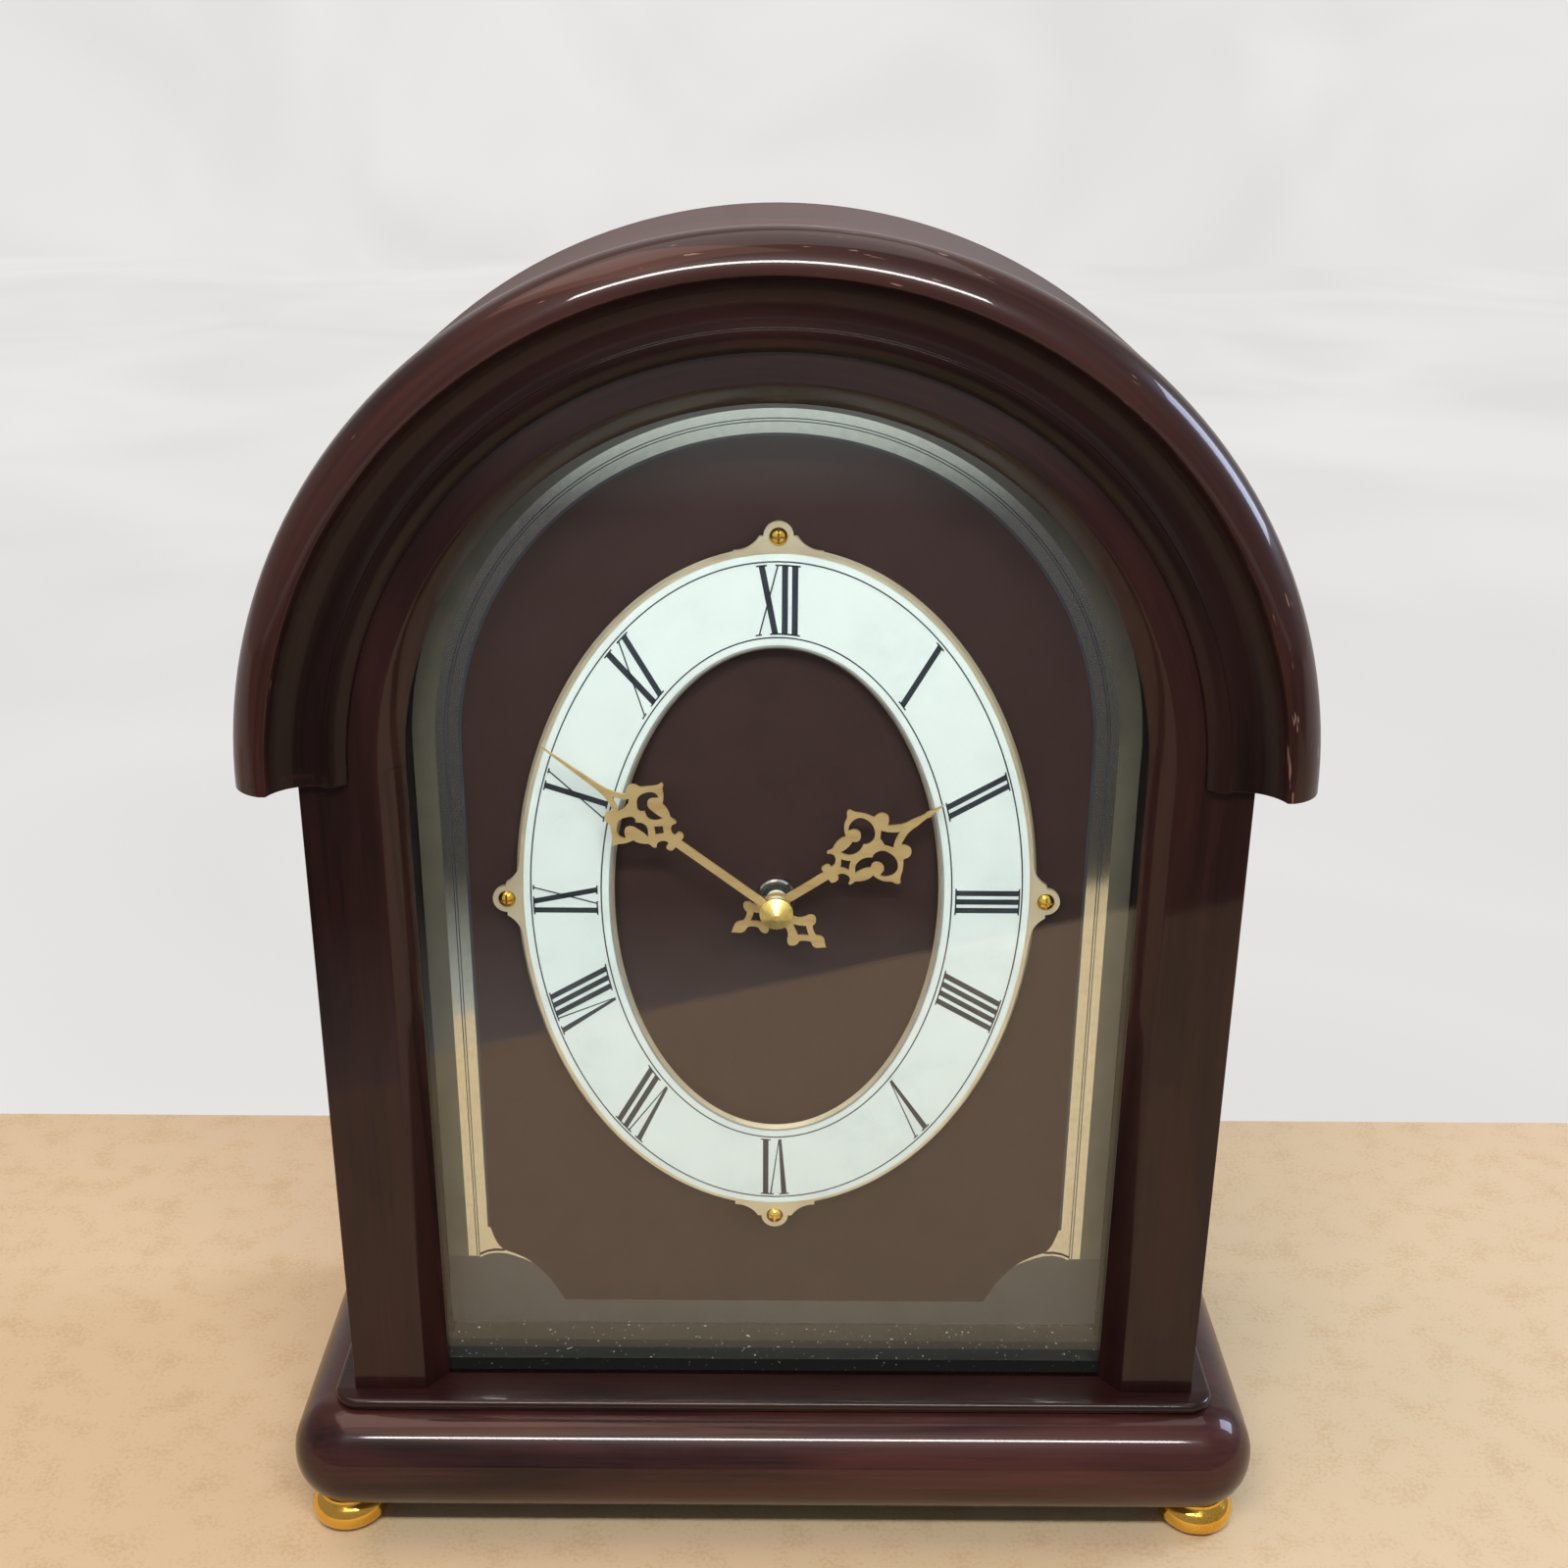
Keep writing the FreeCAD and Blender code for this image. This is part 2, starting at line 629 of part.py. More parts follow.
door_gap = s.door_play / 2
door_foot = floor_z + s.door_sill
door_side = s.door_width / 2
hinge_x = -(door_side - door_gap)
hinge_y = panel_back + s.hinge_barrel


def make_door():
    half = door_side - s.door_play
    z = (door_foot + s.door_play, door_foot + door_height - s.door_play)
    panel = box((-half, half), (panel_front, panel_back), z)
    middle = door_foot + door_height / 2
    stem_hole = round_bar("y", s.door_knob_stem, (panel_front - s.overrun, panel_back + s.overrun),
                          half - s.door_knob_inset, middle)
    holes = [round_bar("y", s.hinge_screw_radius,
                       (panel_back - s.hinge_screw_length, panel_back + s.overrun), x, zz)
             for x, zz in hinge_screw_spots(1)]
    node("access_door", cut(panel, stem_hole, *holes))
    neck, reach = s.door_knob_stem, s.door_knob_length
    turned("door_knob", "y", [
        (ZERO, -s.panel_thickness), (neck, -s.panel_thickness), (neck, ZERO),
        (neck * 1.5, ZERO), (neck * 1.5, reach * 0.12), (neck * 1.1, reach * 0.35),
        (s.door_knob_radius, reach * 0.7), (s.door_knob_radius * 0.7, reach), (ZERO, reach)],
        half - s.door_knob_inset, panel_back, middle)
    strike_y = (panel_front - s.strike_thickness, panel_front)
    low, high = middle + s.door_knob_radius * 2, middle + s.door_knob_radius * 2 + s.catch_height
    node("door_strike", box((half - s.strike_width, half), strike_y, (low, high)))
    catch_back = strike_y[0] - s.hinge_play
    body = box((half - s.strike_width, door_side + s.catch_width / 4),
               (catch_back - s.catch_depth, catch_back), (low, high))
    flange_y = (panel_front - s.catch_flange_thickness, panel_front)
    flange = box((door_side + s.door_play, door_side + s.catch_flange), flange_y, (low, high))
    bridge = box((door_side + s.door_play, door_side + s.catch_width / 2),
                 (catch_back - s.catch_depth, panel_front), (low, high))
    node("door_catch", fuse(body, bridge, flange))


def hinge_feet():
    return [door_foot + s.hinge_inset,
            door_foot + door_height - s.hinge_inset - s.hinge_height]


def hinge_screw_spots(side):
    """Screw places on one leaf of both hinges; side 1 is the door, -1 the panel."""
    x = hinge_x + s.hinge_leaf_width * 0.62 * side
    spots = []
    for foot in hinge_feet():
        middle = foot + s.hinge_height / 2
        for turn in (-1, 1):
            spots.append((x, middle + s.hinge_screw_spread / 2 * turn))
    return spots


def make_hinges():
    fixed, moving, pins = [], [], []
    for foot in hinge_feet():
        top = foot + s.hinge_height
        lower = (foot, foot + s.hinge_knuckle)
        upper = (top - s.hinge_knuckle, top)
        middle = (lower[1] + s.hinge_play, upper[0] - s.hinge_play)
        fixed.append(hinge_leaf(-1, (foot, top), (lower, upper), middle))
        moving.append(hinge_leaf(1, (foot, top), (middle,), lower, upper))
        pins.append(round_bar("z", s.hinge_pin, (foot, top), hinge_x, hinge_y))
    node("hinge_leaves_panel", group(*fixed))
    node("hinge_leaves_door", group(*moving))
    node("hinge_pins", group(*pins))
    for label, side in (("hinge_screws_panel", -1), ("hinge_screws_door", 1)):
        seat = panel_back + s.hinge_leaf
        node(label, group(*[screw_y(
            s.hinge_screw_radius, s.hinge_screw_head, s.hinge_screw_head_height,
            s.hinge_screw_length + s.hinge_leaf, seat, x, z) for x, z in hinge_screw_spots(side)]))


def hinge_leaf(side, height, knuckles, *gaps):
    """One leaf with its knuckles; gaps are the heights where the other leaf's knuckles turn."""
    edge = hinge_x + s.hinge_leaf_width * side
    x = (hinge_x, edge) if side > 0 else (edge, hinge_x)
    plate = box(x, (panel_back, panel_back + s.hinge_leaf), height)
    parts = [plate]
    room = s.hinge_barrel + s.hinge_play * 2
    tools = []
    for gap in gaps:
        low, high = gap[0] - s.hinge_play * 2, gap[1] + s.hinge_play * 2
        tools.append(box((hinge_x - room, hinge_x + room), (panel_back - s.overrun, hinge_y), (low, high)))
    leaf = cut(plate, *tools)
    barrels = [round_bar("z", s.hinge_barrel, span, hinge_x, hinge_y) for span in knuckles]
    whole = fuse(leaf, *barrels)
    bore = s.hinge_pin if side < 0 else s.hinge_pin + s.hinge_play
    drills = [round_bar("z", bore, (height[0] - s.overrun, height[1] + s.overrun), hinge_x, hinge_y)]
    for x_spot, z_spot in hinge_screw_spots(side):
        drills.append(round_bar("y", s.hinge_screw_radius,
                                (panel_back - s.overrun, panel_back + s.hinge_leaf + s.overrun), x_spot, z_spot))
    return cut(whole, *drills)


# Dial plate and chapter ring

def dial_screw_spots():
    radius = inner_half - s.dial_margin - s.dial_screw_inset
    spots = []
    for turn in (40, 140):
        spots.append((radius * math.cos(math.radians(turn)), arch_z + radius * math.sin(math.radians(turn))))
    for side in (-1, 1):
        for rise_share in (0.12, 0.62):
            spots.append((radius * side, floor_z + s.arch_height * rise_share))
    return spots


def ring_screw_spots():
    return [(ZERO, shaft_z + lug_reach_top), (lug_reach_side, shaft_z),
            (ZERO, shaft_z - lug_reach_top), (-lug_reach_side, shaft_z)]


def make_dial():
    owner = new_body("dial_plate")
    radius = inner_half - s.dial_margin
    foot = floor_z + s.dial_foot_gap
    sketch = new_sketch(owner, "XZ_Plane", -dial_front)
    outline(sketch, [(radius, foot), (radius, arch_z), (ZERO, arch_z + radius, radius, 1),
                     (-radius, arch_z, radius, 1), (-radius, foot)])
    pad(owner, sketch, s.dial_thickness, True)
    holes = new_sketch(owner, "XZ_Plane", -dial_front)
    add_circle(holes, ZERO, shaft_z, s.bush_radius + s.hole_play)
    for x, z in dial_screw_spots():
        add_circle(holes, x, z, s.dial_screw_radius)
    for x, z in ring_screw_spots():
        add_circle(holes, x, z, s.ring_screw_radius)
    owner.Tip = pocket(owner, holes, s.dial_thickness + s.overrun)
    screws = [screw_y(s.dial_screw_radius, s.dial_screw_head, s.dial_screw_head_height,
                      s.dial_screw_length, dial_back, x, z) for x, z in dial_screw_spots()]
    node("dial_plate_screws", group(*screws))


def oval(half_width, half_height, y):
    """An upright ellipse about the hand shaft, in a plane across Y."""
    item = doc.addObject("Part::Ellipse", "oval")
    bind(item, MajorRadius=half_height, MinorRadius=half_width)
    return place(item, ZERO, y, shaft_z, FreeCAD.Rotation(ABOUT_X, 90) * FreeCAD.Rotation(ABOUT_Z, 90))


def oval_block(half_width, half_height, y0, y1, flare):
    """An oval block whose half sizes grow by flare from the first plane to the second."""
    item = doc.addObject("Part::Loft", "oval_block")
    item.Sections = [oval(half_width, half_height, y0), oval(half_width + flare, half_height + flare, y1)]
    item.Solid = True
    item.Ruled = True
    return item


def make_ring():
    back_y = dial_front - s.ring_standoff
    front_y = back_y - s.ring_thickness
    plate = oval_block(s.ring_half_width - s.ring_chamfer, s.ring_half_height - s.ring_chamfer,
                       front_y, back_y, s.ring_chamfer)
    lugs = []
    for x, z in ring_screw_spots():
        lugs.append(round_bar("y", s.lug_radius, (front_y, back_y), x, z))
    feet, flares = [], []
    for side in (-1, 1):
        wide = s.lug_radius + s.lug_flare
        reach, out = lug_reach_top, s.ring_half_height - s.lug_foot
        z = (shaft_z + out, shaft_z + reach) if side > 0 else (shaft_z - reach, shaft_z - out)
        feet.append(box((-wide, wide), (front_y, back_y), z))
        reach, out = lug_reach_side, s.ring_half_width - s.lug_foot
        x = (out, reach) if side > 0 else (-reach, -out)
        feet.append(box(x, (front_y, back_y), (shaft_z - wide, shaft_z + wide)))
        cut_y = (front_y - s.overrun, back_y + s.overrun)
        for turn in (-1, 1):
            out_top = (lug_reach_top + s.lug_flare - s.lug_radius) * side
            out_side = (lug_reach_side + s.lug_flare - s.lug_radius) * side
            flares.append(round_bar("y", s.lug_flare, cut_y, wide * turn, shaft_z + out_top))
            flares.append(round_bar("y", s.lug_flare, cut_y, out_side, shaft_z + wide * turn))
    body = fuse(plate, cut(fuse(*feet), *flares), *lugs)
    hole = oval_block(s.ring_hole_half_width + s.ring_chamfer, s.ring_hole_half_height + s.ring_chamfer,
                      front_y, back_y, -s.ring_chamfer)
    drills = [round_bar("y", s.ring_screw_radius, (front_y - s.overrun, back_y + s.overrun), x, z)
              for x, z in ring_screw_spots()]
    node("chapter_ring", cut(body, hole, *drills))
    posts, screws = [], []
    for x, z in ring_screw_spots():
        post = round_bar("y", s.post_radius, (back_y, dial_front), x, z)
        posts.append(cut(post, round_bar("y", s.ring_screw_radius, (back_y - s.overrun, dial_front + s.overrun), x, z)))
        screws.append(ring_screw(front_y, x, z))
    node("ring_posts", group(*posts))
    node("ring_screws", group(*screws))


def ring_screw(seat, x, z):
    """A domed head with a cross slot, on a shank that reaches through the dial plate."""
    head, dome = s.ring_screw_head, s.ring_screw_dome
    ball_radius = (head * head + dome * dome) / (dome * 2)
    ball = doc.addObject("Part::Sphere", "ball")
    bind(ball, Radius=ball_radius)
    place(ball, x, seat - dome + ball_radius, z)
    cap = common(ball, round_bar("y", head, (seat - dome, seat), x, z))
    shank = round_bar("y", s.ring_screw_radius, (seat, dial_back), x, z)
    reach, thin = head * 0.72, s.ring_screw_slot / 2
    slot_y = (seat - dome - s.overrun, seat - dome + s.ring_screw_slot_depth)
    bar_a = box((x - reach, x + reach), slot_y, (z - thin, z + thin))
    bar_b = box((x - thin, x + thin), slot_y, (z - reach, z + reach))
    return cut(fuse(cap, shank), bar_a, bar_b)


# Hands: flat pierced plates, drawn pointing up from the shaft. Their outlines are runs of points
# (along, aside) in shares of the drawing grid, one side only; a run turns smoothly and ends in a corner.

HOUR_OUTLINE_SHARES = (
    ((-13.4, 0), (-12.3, 0.8), (-11.2, 1.45), (-10.4, 1.5), (-9.6, 1.15), (-9.2, 1.0)),
    ((-9.2, 1.0), (-8.4, 1.3), (-7.6, 1.9), (-7.05, 2.6)),
    ((-7.05, 2.6), (-7.15, 3.4), (-7.0, 4.2), (-6.2, 4.95), (-5.3, 4.6), (-4.8, 3.8)),
    ((-4.8, 3.8), (-4.2, 3.0), (-3.2, 2.4)),
    ((-3.2, 2.4), (0, 2.6)),
    ((0, 2.6), (2.6, 1.1)),
    ((2.6, 1.1), (14.6, 1.1)),
    ((14.6, 1.1), (14.65, 1.7)),
    ((14.65, 1.7), (14.8, 2.3), (15.6, 2.55), (16.5, 2.45), (16.95, 2.0)),
    ((16.95, 2.0), (16.9, 1.5)),
    ((16.9, 1.5), (17.6, 1.35), (18.5, 1.8), (19.1, 2.7), (19.25, 3.5), (18.85, 4.3), (18.1, 4.8)),
    ((18.1, 4.8), (18.2, 5.15), (19.3, 5.2), (20.1, 5.3)),
    ((20.1, 5.3), (21.0, 5.85), (22.2, 6.3), (23.4, 6.4), (24.4, 6.15)),
    ((24.4, 6.15), (24.7, 7.3), (25.3, 8.4), (26.2, 9.4), (27.2, 10.1), (27.6, 10.7)),
    ((27.6, 10.7), (28.1, 11.4), (28.7, 11.65), (29.15, 11.2)),
    ((29.15, 11.2), (29.5, 10.6), (30.1, 9.95), (31.0, 9.15), (32.0, 7.95), (32.75, 6.75)),
    ((32.75, 6.75), (33.4, 6.75), (34.15, 6.85), (35.1, 6.5), (35.85, 5.2), (35.3, 3.9), (34.4, 3.1)),
    ((34.4, 3.1), (35.2, 2.55), (36.2, 2.0), (37.2, 1.5), (38.2, 1.2), (40.0, 1.05)),
    ((40.0, 1.05), (42.0, 0.75), (43.6, 0.55)),
    ((43.6, 0.55), (44.3, 0.75), (45.1, 0.5)),
    ((45.1, 0.5), (48.5, 0.1)),
)
HOUR_LOOP_SHARES = (
    ((21.0, 3.4), (21.4, 2.6), (22.0, 1.8), (23.0, 1.2), (24.2, 1.0), (25.2, 1.15), (26.1, 1.55), (26.8, 2.05)),
    ((26.8, 2.05), (27.1, 1.75), (27.7, 1.5), (28.6, 1.45), (29.4, 1.65), (30.2, 2.2), (31.0, 3.5),
     (31.4, 5.0), (31.0, 7.1), (30.0, 8.4), (28.9, 8.8), (27.6, 8.65), (26.5, 8.1), (25.7, 7.0)),
    ((25.7, 7.0), (26.4, 6.85), (27.2, 6.5), (27.8, 5.3), (27.2, 3.95), (26.3, 3.5), (25.5, 3.75), (24.95, 4.2)),
    ((24.95, 4.2), (24.2, 3.8), (23.0, 3.45), (22.0, 3.35), (21.0, 3.4)),
)
HOUR_OPENING_SHARES = (
    (((18.7, 0), (19.5, 0.8), (20.1, 1.85)), ((20.1, 1.85), (20.8, 1.0), (22.0, 0))),
    (((31.05, 0), (30.95, 1.0)), ((30.95, 1.0), (31.7, 1.9), (32.4, 2.85)),
     ((32.4, 2.85), (33.2, 1.95), (34.6, 0.8), (36.2, 0))),
    (((-7.8, 0), (-6.7, 0.7), (-5.7, 1.6)), ((-5.7, 1.6), (-4.7, 0.7), (-3.6, 0))),
)
MINUTE_OUTLINE_SHARES = (
    ((-15.5, 0), (-14.4, 0.9), (-13.4, 1.6), (-12.5, 1.55), (-11.8, 1.15), (-11.3, 1.1)),
    ((-11.3, 1.1), (-10.4, 1.6), (-9.6, 2.2), (-9.2, 2.8)),
    ((-9.2, 2.8), (-9.3, 3.6), (-8.9, 4.4), (-7.9, 5.0), (-7.0, 4.6), (-6.5, 3.8)),
    ((-6.5, 3.8), (-5.8, 2.8), (-4.6, 1.95), (-3.0, 1.9)),
    ((-3.0, 1.9), (0, 2.6)),
    ((0, 2.6), (2.6, 1.05)),
    ((2.6, 1.05), (30.0, 1.05)),
    ((30.0, 1.05), (30.0, 1.7)),
    ((30.0, 1.7), (30.2, 2.4), (30.9, 2.75), (31.55, 2.65), (31.85, 2.1)),
    ((31.85, 2.1), (31.8, 1.5)),
    ((31.8, 1.5), (32.4, 1.2), (33.2, 1.5), (33.85, 2.2), (34.05, 2.9), (33.9, 3.5), (33.6, 3.9)),
    ((33.6, 3.9), (33.85, 4.3), (35.0, 4.4), (35.8, 4.45)),
    ((35.8, 4.45), (36.6, 5.1), (37.6, 5.6), (38.4, 5.85), (39.1, 5.85)),
    ((39.1, 5.85), (39.7, 7.0), (40.5, 8.1), (41.4, 8.95), (41.8, 9.6)),
    ((41.8, 9.6), (42.1, 10.1), (42.5, 10.15), (42.75, 9.6)),
    ((42.75, 9.6), (43.2, 8.85), (44.1, 7.95), (45.0, 7.1), (45.7, 6.35)),
    ((45.7, 6.35), (46.3, 6.1), (47.2, 6.05), (48.0, 5.5), (48.45, 4.5), (48.1, 3.4), (47.6, 2.6)),
    ((47.6, 2.6), (48.4, 2.15), (49.6, 1.6), (51.0, 1.15), (52.6, 0.85), (54.0, 0.68)),
    ((54.0, 0.68), (60.0, 0.5), (71.0, 0.12)),
)
MINUTE_LOOP_SHARES = (
    ((36.7, 3.25), (37.2, 2.5), (38.0, 1.5), (39.0, 0.95), (40.0, 0.95), (40.9, 1.4), (41.5, 1.8)),
    ((41.5, 1.8), (42.0, 1.2), (42.9, 1.1), (43.8, 1.85), (44.6, 3.0), (44.85, 4.1), (44.4, 5.4),
     (43.6, 6.5), (42.6, 7.1), (41.6, 7.1), (40.8, 6.7)),
    ((40.8, 6.7), (41.3, 6.2), (42.0, 5.6), (42.4, 4.6), (42.0, 3.7), (41.2, 3.2), (39.6, 3.05),
     (38.0, 3.0), (36.7, 3.25)),
)
MINUTE_OPENING_SHARES = (
    (((34.3, 0), (35.0, 0.7), (35.75, 1.45)), ((35.75, 1.45), (36.4, 0.8), (37.4, 0))),
    (((45.75, 0), (45.7, 0.9)), ((45.7, 0.9), (46.0, 1.5), (46.3, 2.15)),
     ((46.3, 2.15), (47.2, 1.4), (48.5, 0.65), (50.0, 0))),
    (((-10.2, 0), (-9.1, 0.75), (-8.0, 1.65)), ((-8.0, 1.65), (-6.5, 0.75), (-5.0, 0))),
)


def run_edges(runs, side):
    """Edges through runs of points; side -1 draws the same runs on the hand's other half."""
    grid = float(s.hand_grid)
    edges = []
    for run in runs:
        points = [FreeCAD.Vector(v * grid * side, 0, u * grid) for u, v in run]
        if len(points) == 2:
            edges.append(Part.LineSegment(*points).toShape())
            continue
        curve = Part.BSplineCurve()
        curve.interpolate(points)
        edges.append(curve.toShape())
    return edges


def mirrored_face(runs):
    """The face between a half outline and its mirror image about the hand's own line."""
    near, far = run_edges(runs, 1), run_edges(runs, -1)
    if runs[-1][-1][1]:
        ends = [edge.Vertexes[-1].Point for edge in (near[-1], far[-1])]
        near.append(Part.LineSegment(*ends).toShape())
    return Part.Face(Part.Wire(Part.__sortEdges__(near + far)))


def make_hand(label, outline_runs, loop_runs, opening_runs, rise, hole, turn):
    depth = ABOUT_Y * float(s.hand_thickness)
    hub = Part.Face(Part.Wire(Part.makeCircle(float(s.hand_hub), FreeCAD.Vector(), ABOUT_Y)))
    bore = Part.Face(Part.Wire(Part.makeCircle(float(hole), FreeCAD.Vector(), ABOUT_Y)))
    openings = [Part.Face(Part.Wire(Part.__sortEdges__(run_edges(loop_runs, side)))) for side in (1, -1)]
    openings += [mirrored_face(runs) for runs in opening_runs]
    blank = mirrored_face(outline_runs).extrude(depth)
    pierced = blank.cut([face.extrude(depth) for face in openings])
    whole = pierced.fuse(hub.extrude(depth)).removeSplitter().cut(bore.extrude(depth))
    item = doc.addObject("Part::Feature", label)
    item.Shape = whole
    y = float(dial_front - rise - s.hand_thickness)
    item.Placement = FreeCAD.Placement(FreeCAD.Vector(0, y, float(shaft_z)),
                                       FreeCAD.Rotation(ABOUT_Y, turn))
    return node(label, item)


def make_hands():
    # nine minutes to two, as the clock is stopped: degrees clockwise from twelve
    make_hand("hour_hand", HOUR_OUTLINE_SHARES, HOUR_LOOP_SHARES, HOUR_OPENING_SHARES,
              s.hour_hand_rise, s.hour_pipe, 56.3)
    make_hand("minute_hand", MINUTE_OUTLINE_SHARES, MINUTE_LOOP_SHARES, MINUTE_OPENING_SHARES,
              s.minute_hand_rise, s.minute_arbor, 307.5)
    seat = dial_front - s.minute_hand_rise - s.hand_thickness
    rim = seat - s.cap_rim
    tip = seat - s.cap_height
    skirt = round_bar("y", s.cap_radius, (rim, seat), ZERO, shaft_z)
    cone = taper("y", s.cap_radius * 0.18, s.cap_radius, (tip, rim), ZERO, shaft_z)
    thread = round_bar("y", s.minute_arbor, (rim, seat + s.overrun), ZERO, shaft_z)
    node("hand_cap_nut", cut(fuse(skirt, cone), thread))
    nut_face = dial_front - s.nut_height
    nut_edge = nut_face + s.nut_chamfer
    nut = fuse(round_bar("y", s.nut_radius, (nut_edge, dial_front), ZERO, shaft_z),
               taper("y", s.nut_radius - s.nut_chamfer, s.nut_radius, (nut_face, nut_edge), ZERO, shaft_z))
    tap = round_bar("y", s.bush_radius, (nut_face - s.overrun, dial_front + s.overrun), ZERO, shaft_z)
    node("fixing_nut", cut(nut, tap))


# Toothed wheels

WHEEL_SHARES = {"addendum": 0.78, "dedendum": 1.15, "thickness": 0.41, "tip": 0.15}
PINION_SHARES = {"addendum": 0.62, "dedendum": 1.3, "thickness": 0.36, "tip": 0.16}


def toothed_blank(teeth, module, shares, phase, thickness):
    """A toothed wheel with flat-sided, topped teeth; phase is the first tooth's place in degrees."""
    pitch = 2 * math.pi / teeth
    radius = teeth * module / 2
    levels = (
        (radius - shares["dedendum"] * module, pitch * shares["thickness"] * 0.62),
        (radius, pitch * shares["thickness"] / 2),
        (radius + shares["addendum"] * module, pitch * shares["tip"] / 2))
    points = []
    for tooth in range(teeth):
        middle = math.radians(phase) + tooth * pitch
        for level, half in list(levels) + [(r, -h) for r, h in reversed(levels)]:
            angle = middle - half
            points.append(FreeCAD.Vector(level * math.sin(angle), 0, level * math.cos(angle)))
    rim = Part.makePolygon(points + points[:1])
    return Part.Face(rim).extrude(ABOUT_Y * thickness)


def rod(radius, y0, y1):
    return Part.makeCylinder(radius, y1 - y0, FreeCAD.Vector(0, y0, 0), ABOUT_Y)


def train_wheel(label, x, z, gears, rods, bore=None):
    """One arbor of the train: gears are (teeth, module, shares, phase, plane, thickness)."""
    parts = []
    for teeth, module, shares, phase, plane, thickness in gears:
        blank = toothed_blank(teeth, float(module), shares, phase, float(thickness))
        blank.translate(ABOUT_Y * float(plane))
        parts.append(blank)
    for radius, y0, y1 in rods:
        parts.append(rod(float(radius), float(y0), float(y1)))
    shape = parts[0].multiFuse(parts[1:]).removeSplitter()
    if bore:
        shape = shape.cut(rod(*[float(v) for v in bore]))
    item = doc.addObject("Part::Feature", label)
    item.Shape = shape
    item.Placement = FreeCAD.Placement(FreeCAD.Vector(float(x), float(box_front), float(z)), FreeCAD.Rotation())
    return node(label, item)


MINUTE_LEAVES, MOTION_TEETH = 8, 24
MOTION_LEAVES, HOUR_TEETH = 8, 32
CENTRE_TEETH, THIRD_LEAVES = 40, 8
THIRD_TEETH, ROTOR_LEAVES = 48, 8
ROTOR_TURN = 100

motion_x = s.motion_module * ((MINUTE_LEAVES + MOTION_TEETH) / 2)
third_x = -(s.centre_module * ((CENTRE_TEETH + THIRD_LEAVES) / 2))
rotor_reach = s.third_module * ((THIRD_TEETH + ROTOR_LEAVES) / 2)
rotor_x = third_x + rotor_reach * math.cos(math.radians(ROTOR_TURN))
rotor_z = shaft_z + rotor_reach * math.sin(math.radians(ROTOR_TURN))
bearing_front = s.box_wall - s.bearing_depth
bearing_back = s.box_depth - s.boss_length + s.bearing_depth
stator_plane = box_front + s.rotor_plane + (s.rotor_length - s.stator_thickness) / 2
stator_left = rotor_x - s.stator_width / 2
coil_z = rotor_z + s.stator_width / 2 + s.coil_radius + s.coil_flange
axis_spots = (("minute", ZERO, shaft_z, s.minute_arbor), ("motion", motion_x, shaft_z, s.motion_arbor),
              ("third", third_x, shaft_z, s.third_arbor), ("rotor", rotor_x, rotor_z, s.rotor_arbor))


def make_train():
    tip = dial_front - s.minute_hand_rise - s.hand_thickness - s.cap_rim - box_front
    pipe_end = dial_front - s.hour_hand_rise - s.hand_thickness - box_front
    bearing_90, bearing_270 = 90, 270
    train_wheel("minute_arbor", ZERO, shaft_z, [
        (MINUTE_LEAVES, s.motion_module, PINION_SHARES, bearing_90, s.motion_plane, s.pinion_length),
        (CENTRE_TEETH, s.centre_module, WHEEL_SHARES, bearing_270, s.centre_plane, s.wheel_thickness)],
        [(s.minute_arbor, tip, bearing_back)])
    motion_pitch = 360 / MOTION_TEETH
    motion_phase = bearing_270 + motion_pitch / 2
    train_wheel("motion_wheel", motion_x, shaft_z, [
        (MOTION_TEETH, s.motion_module, WHEEL_SHARES, motion_phase, s.motion_plane, s.wheel_thickness),
        (MOTION_LEAVES, s.hour_module, PINION_SHARES, bearing_270, s.hour_wheel_plane,
         s.motion_plane - s.hour_wheel_plane)],
        [(s.motion_arbor, bearing_front,
          s.box_depth + s.cover_thickness + s.set_knob_gap + s.set_knob_length * 0.8)])
    hour_pitch = 360 / HOUR_TEETH
    train_wheel("hour_wheel", ZERO, shaft_z, [
        (HOUR_TEETH, s.hour_module, WHEEL_SHARES, bearing_90 + hour_pitch / 2, s.hour_wheel_plane, s.wheel_thickness)],
        [(s.hour_pipe, pipe_end, s.hour_wheel_plane + s.wheel_thickness)],
        (s.hour_pipe_bore, pipe_end - s.overrun, s.hour_wheel_plane + s.wheel_thickness + s.overrun))
    third_pitch = 360 / THIRD_LEAVES
    train_wheel("third_wheel", third_x, shaft_z, [
        (THIRD_LEAVES, s.centre_module, PINION_SHARES, bearing_90 + third_pitch / 2, s.centre_plane, s.pinion_length),
        (THIRD_TEETH, s.third_module, WHEEL_SHARES, 90 - ROTOR_TURN, s.third_plane, s.wheel_thickness)],
        [(s.third_arbor, bearing_front, bearing_back)])
    rotor_pitch = 360 / ROTOR_LEAVES
    train_wheel("rotor", rotor_x, rotor_z, [
        (ROTOR_LEAVES, s.third_module, PINION_SHARES, 270 - ROTOR_TURN + rotor_pitch / 2, s.third_plane, s.pinion_length)],
        [(s.rotor_arbor, bearing_front, bearing_back),
         (s.rotor_radius, s.rotor_plane, s.rotor_plane + s.rotor_length)])


# Movement housing

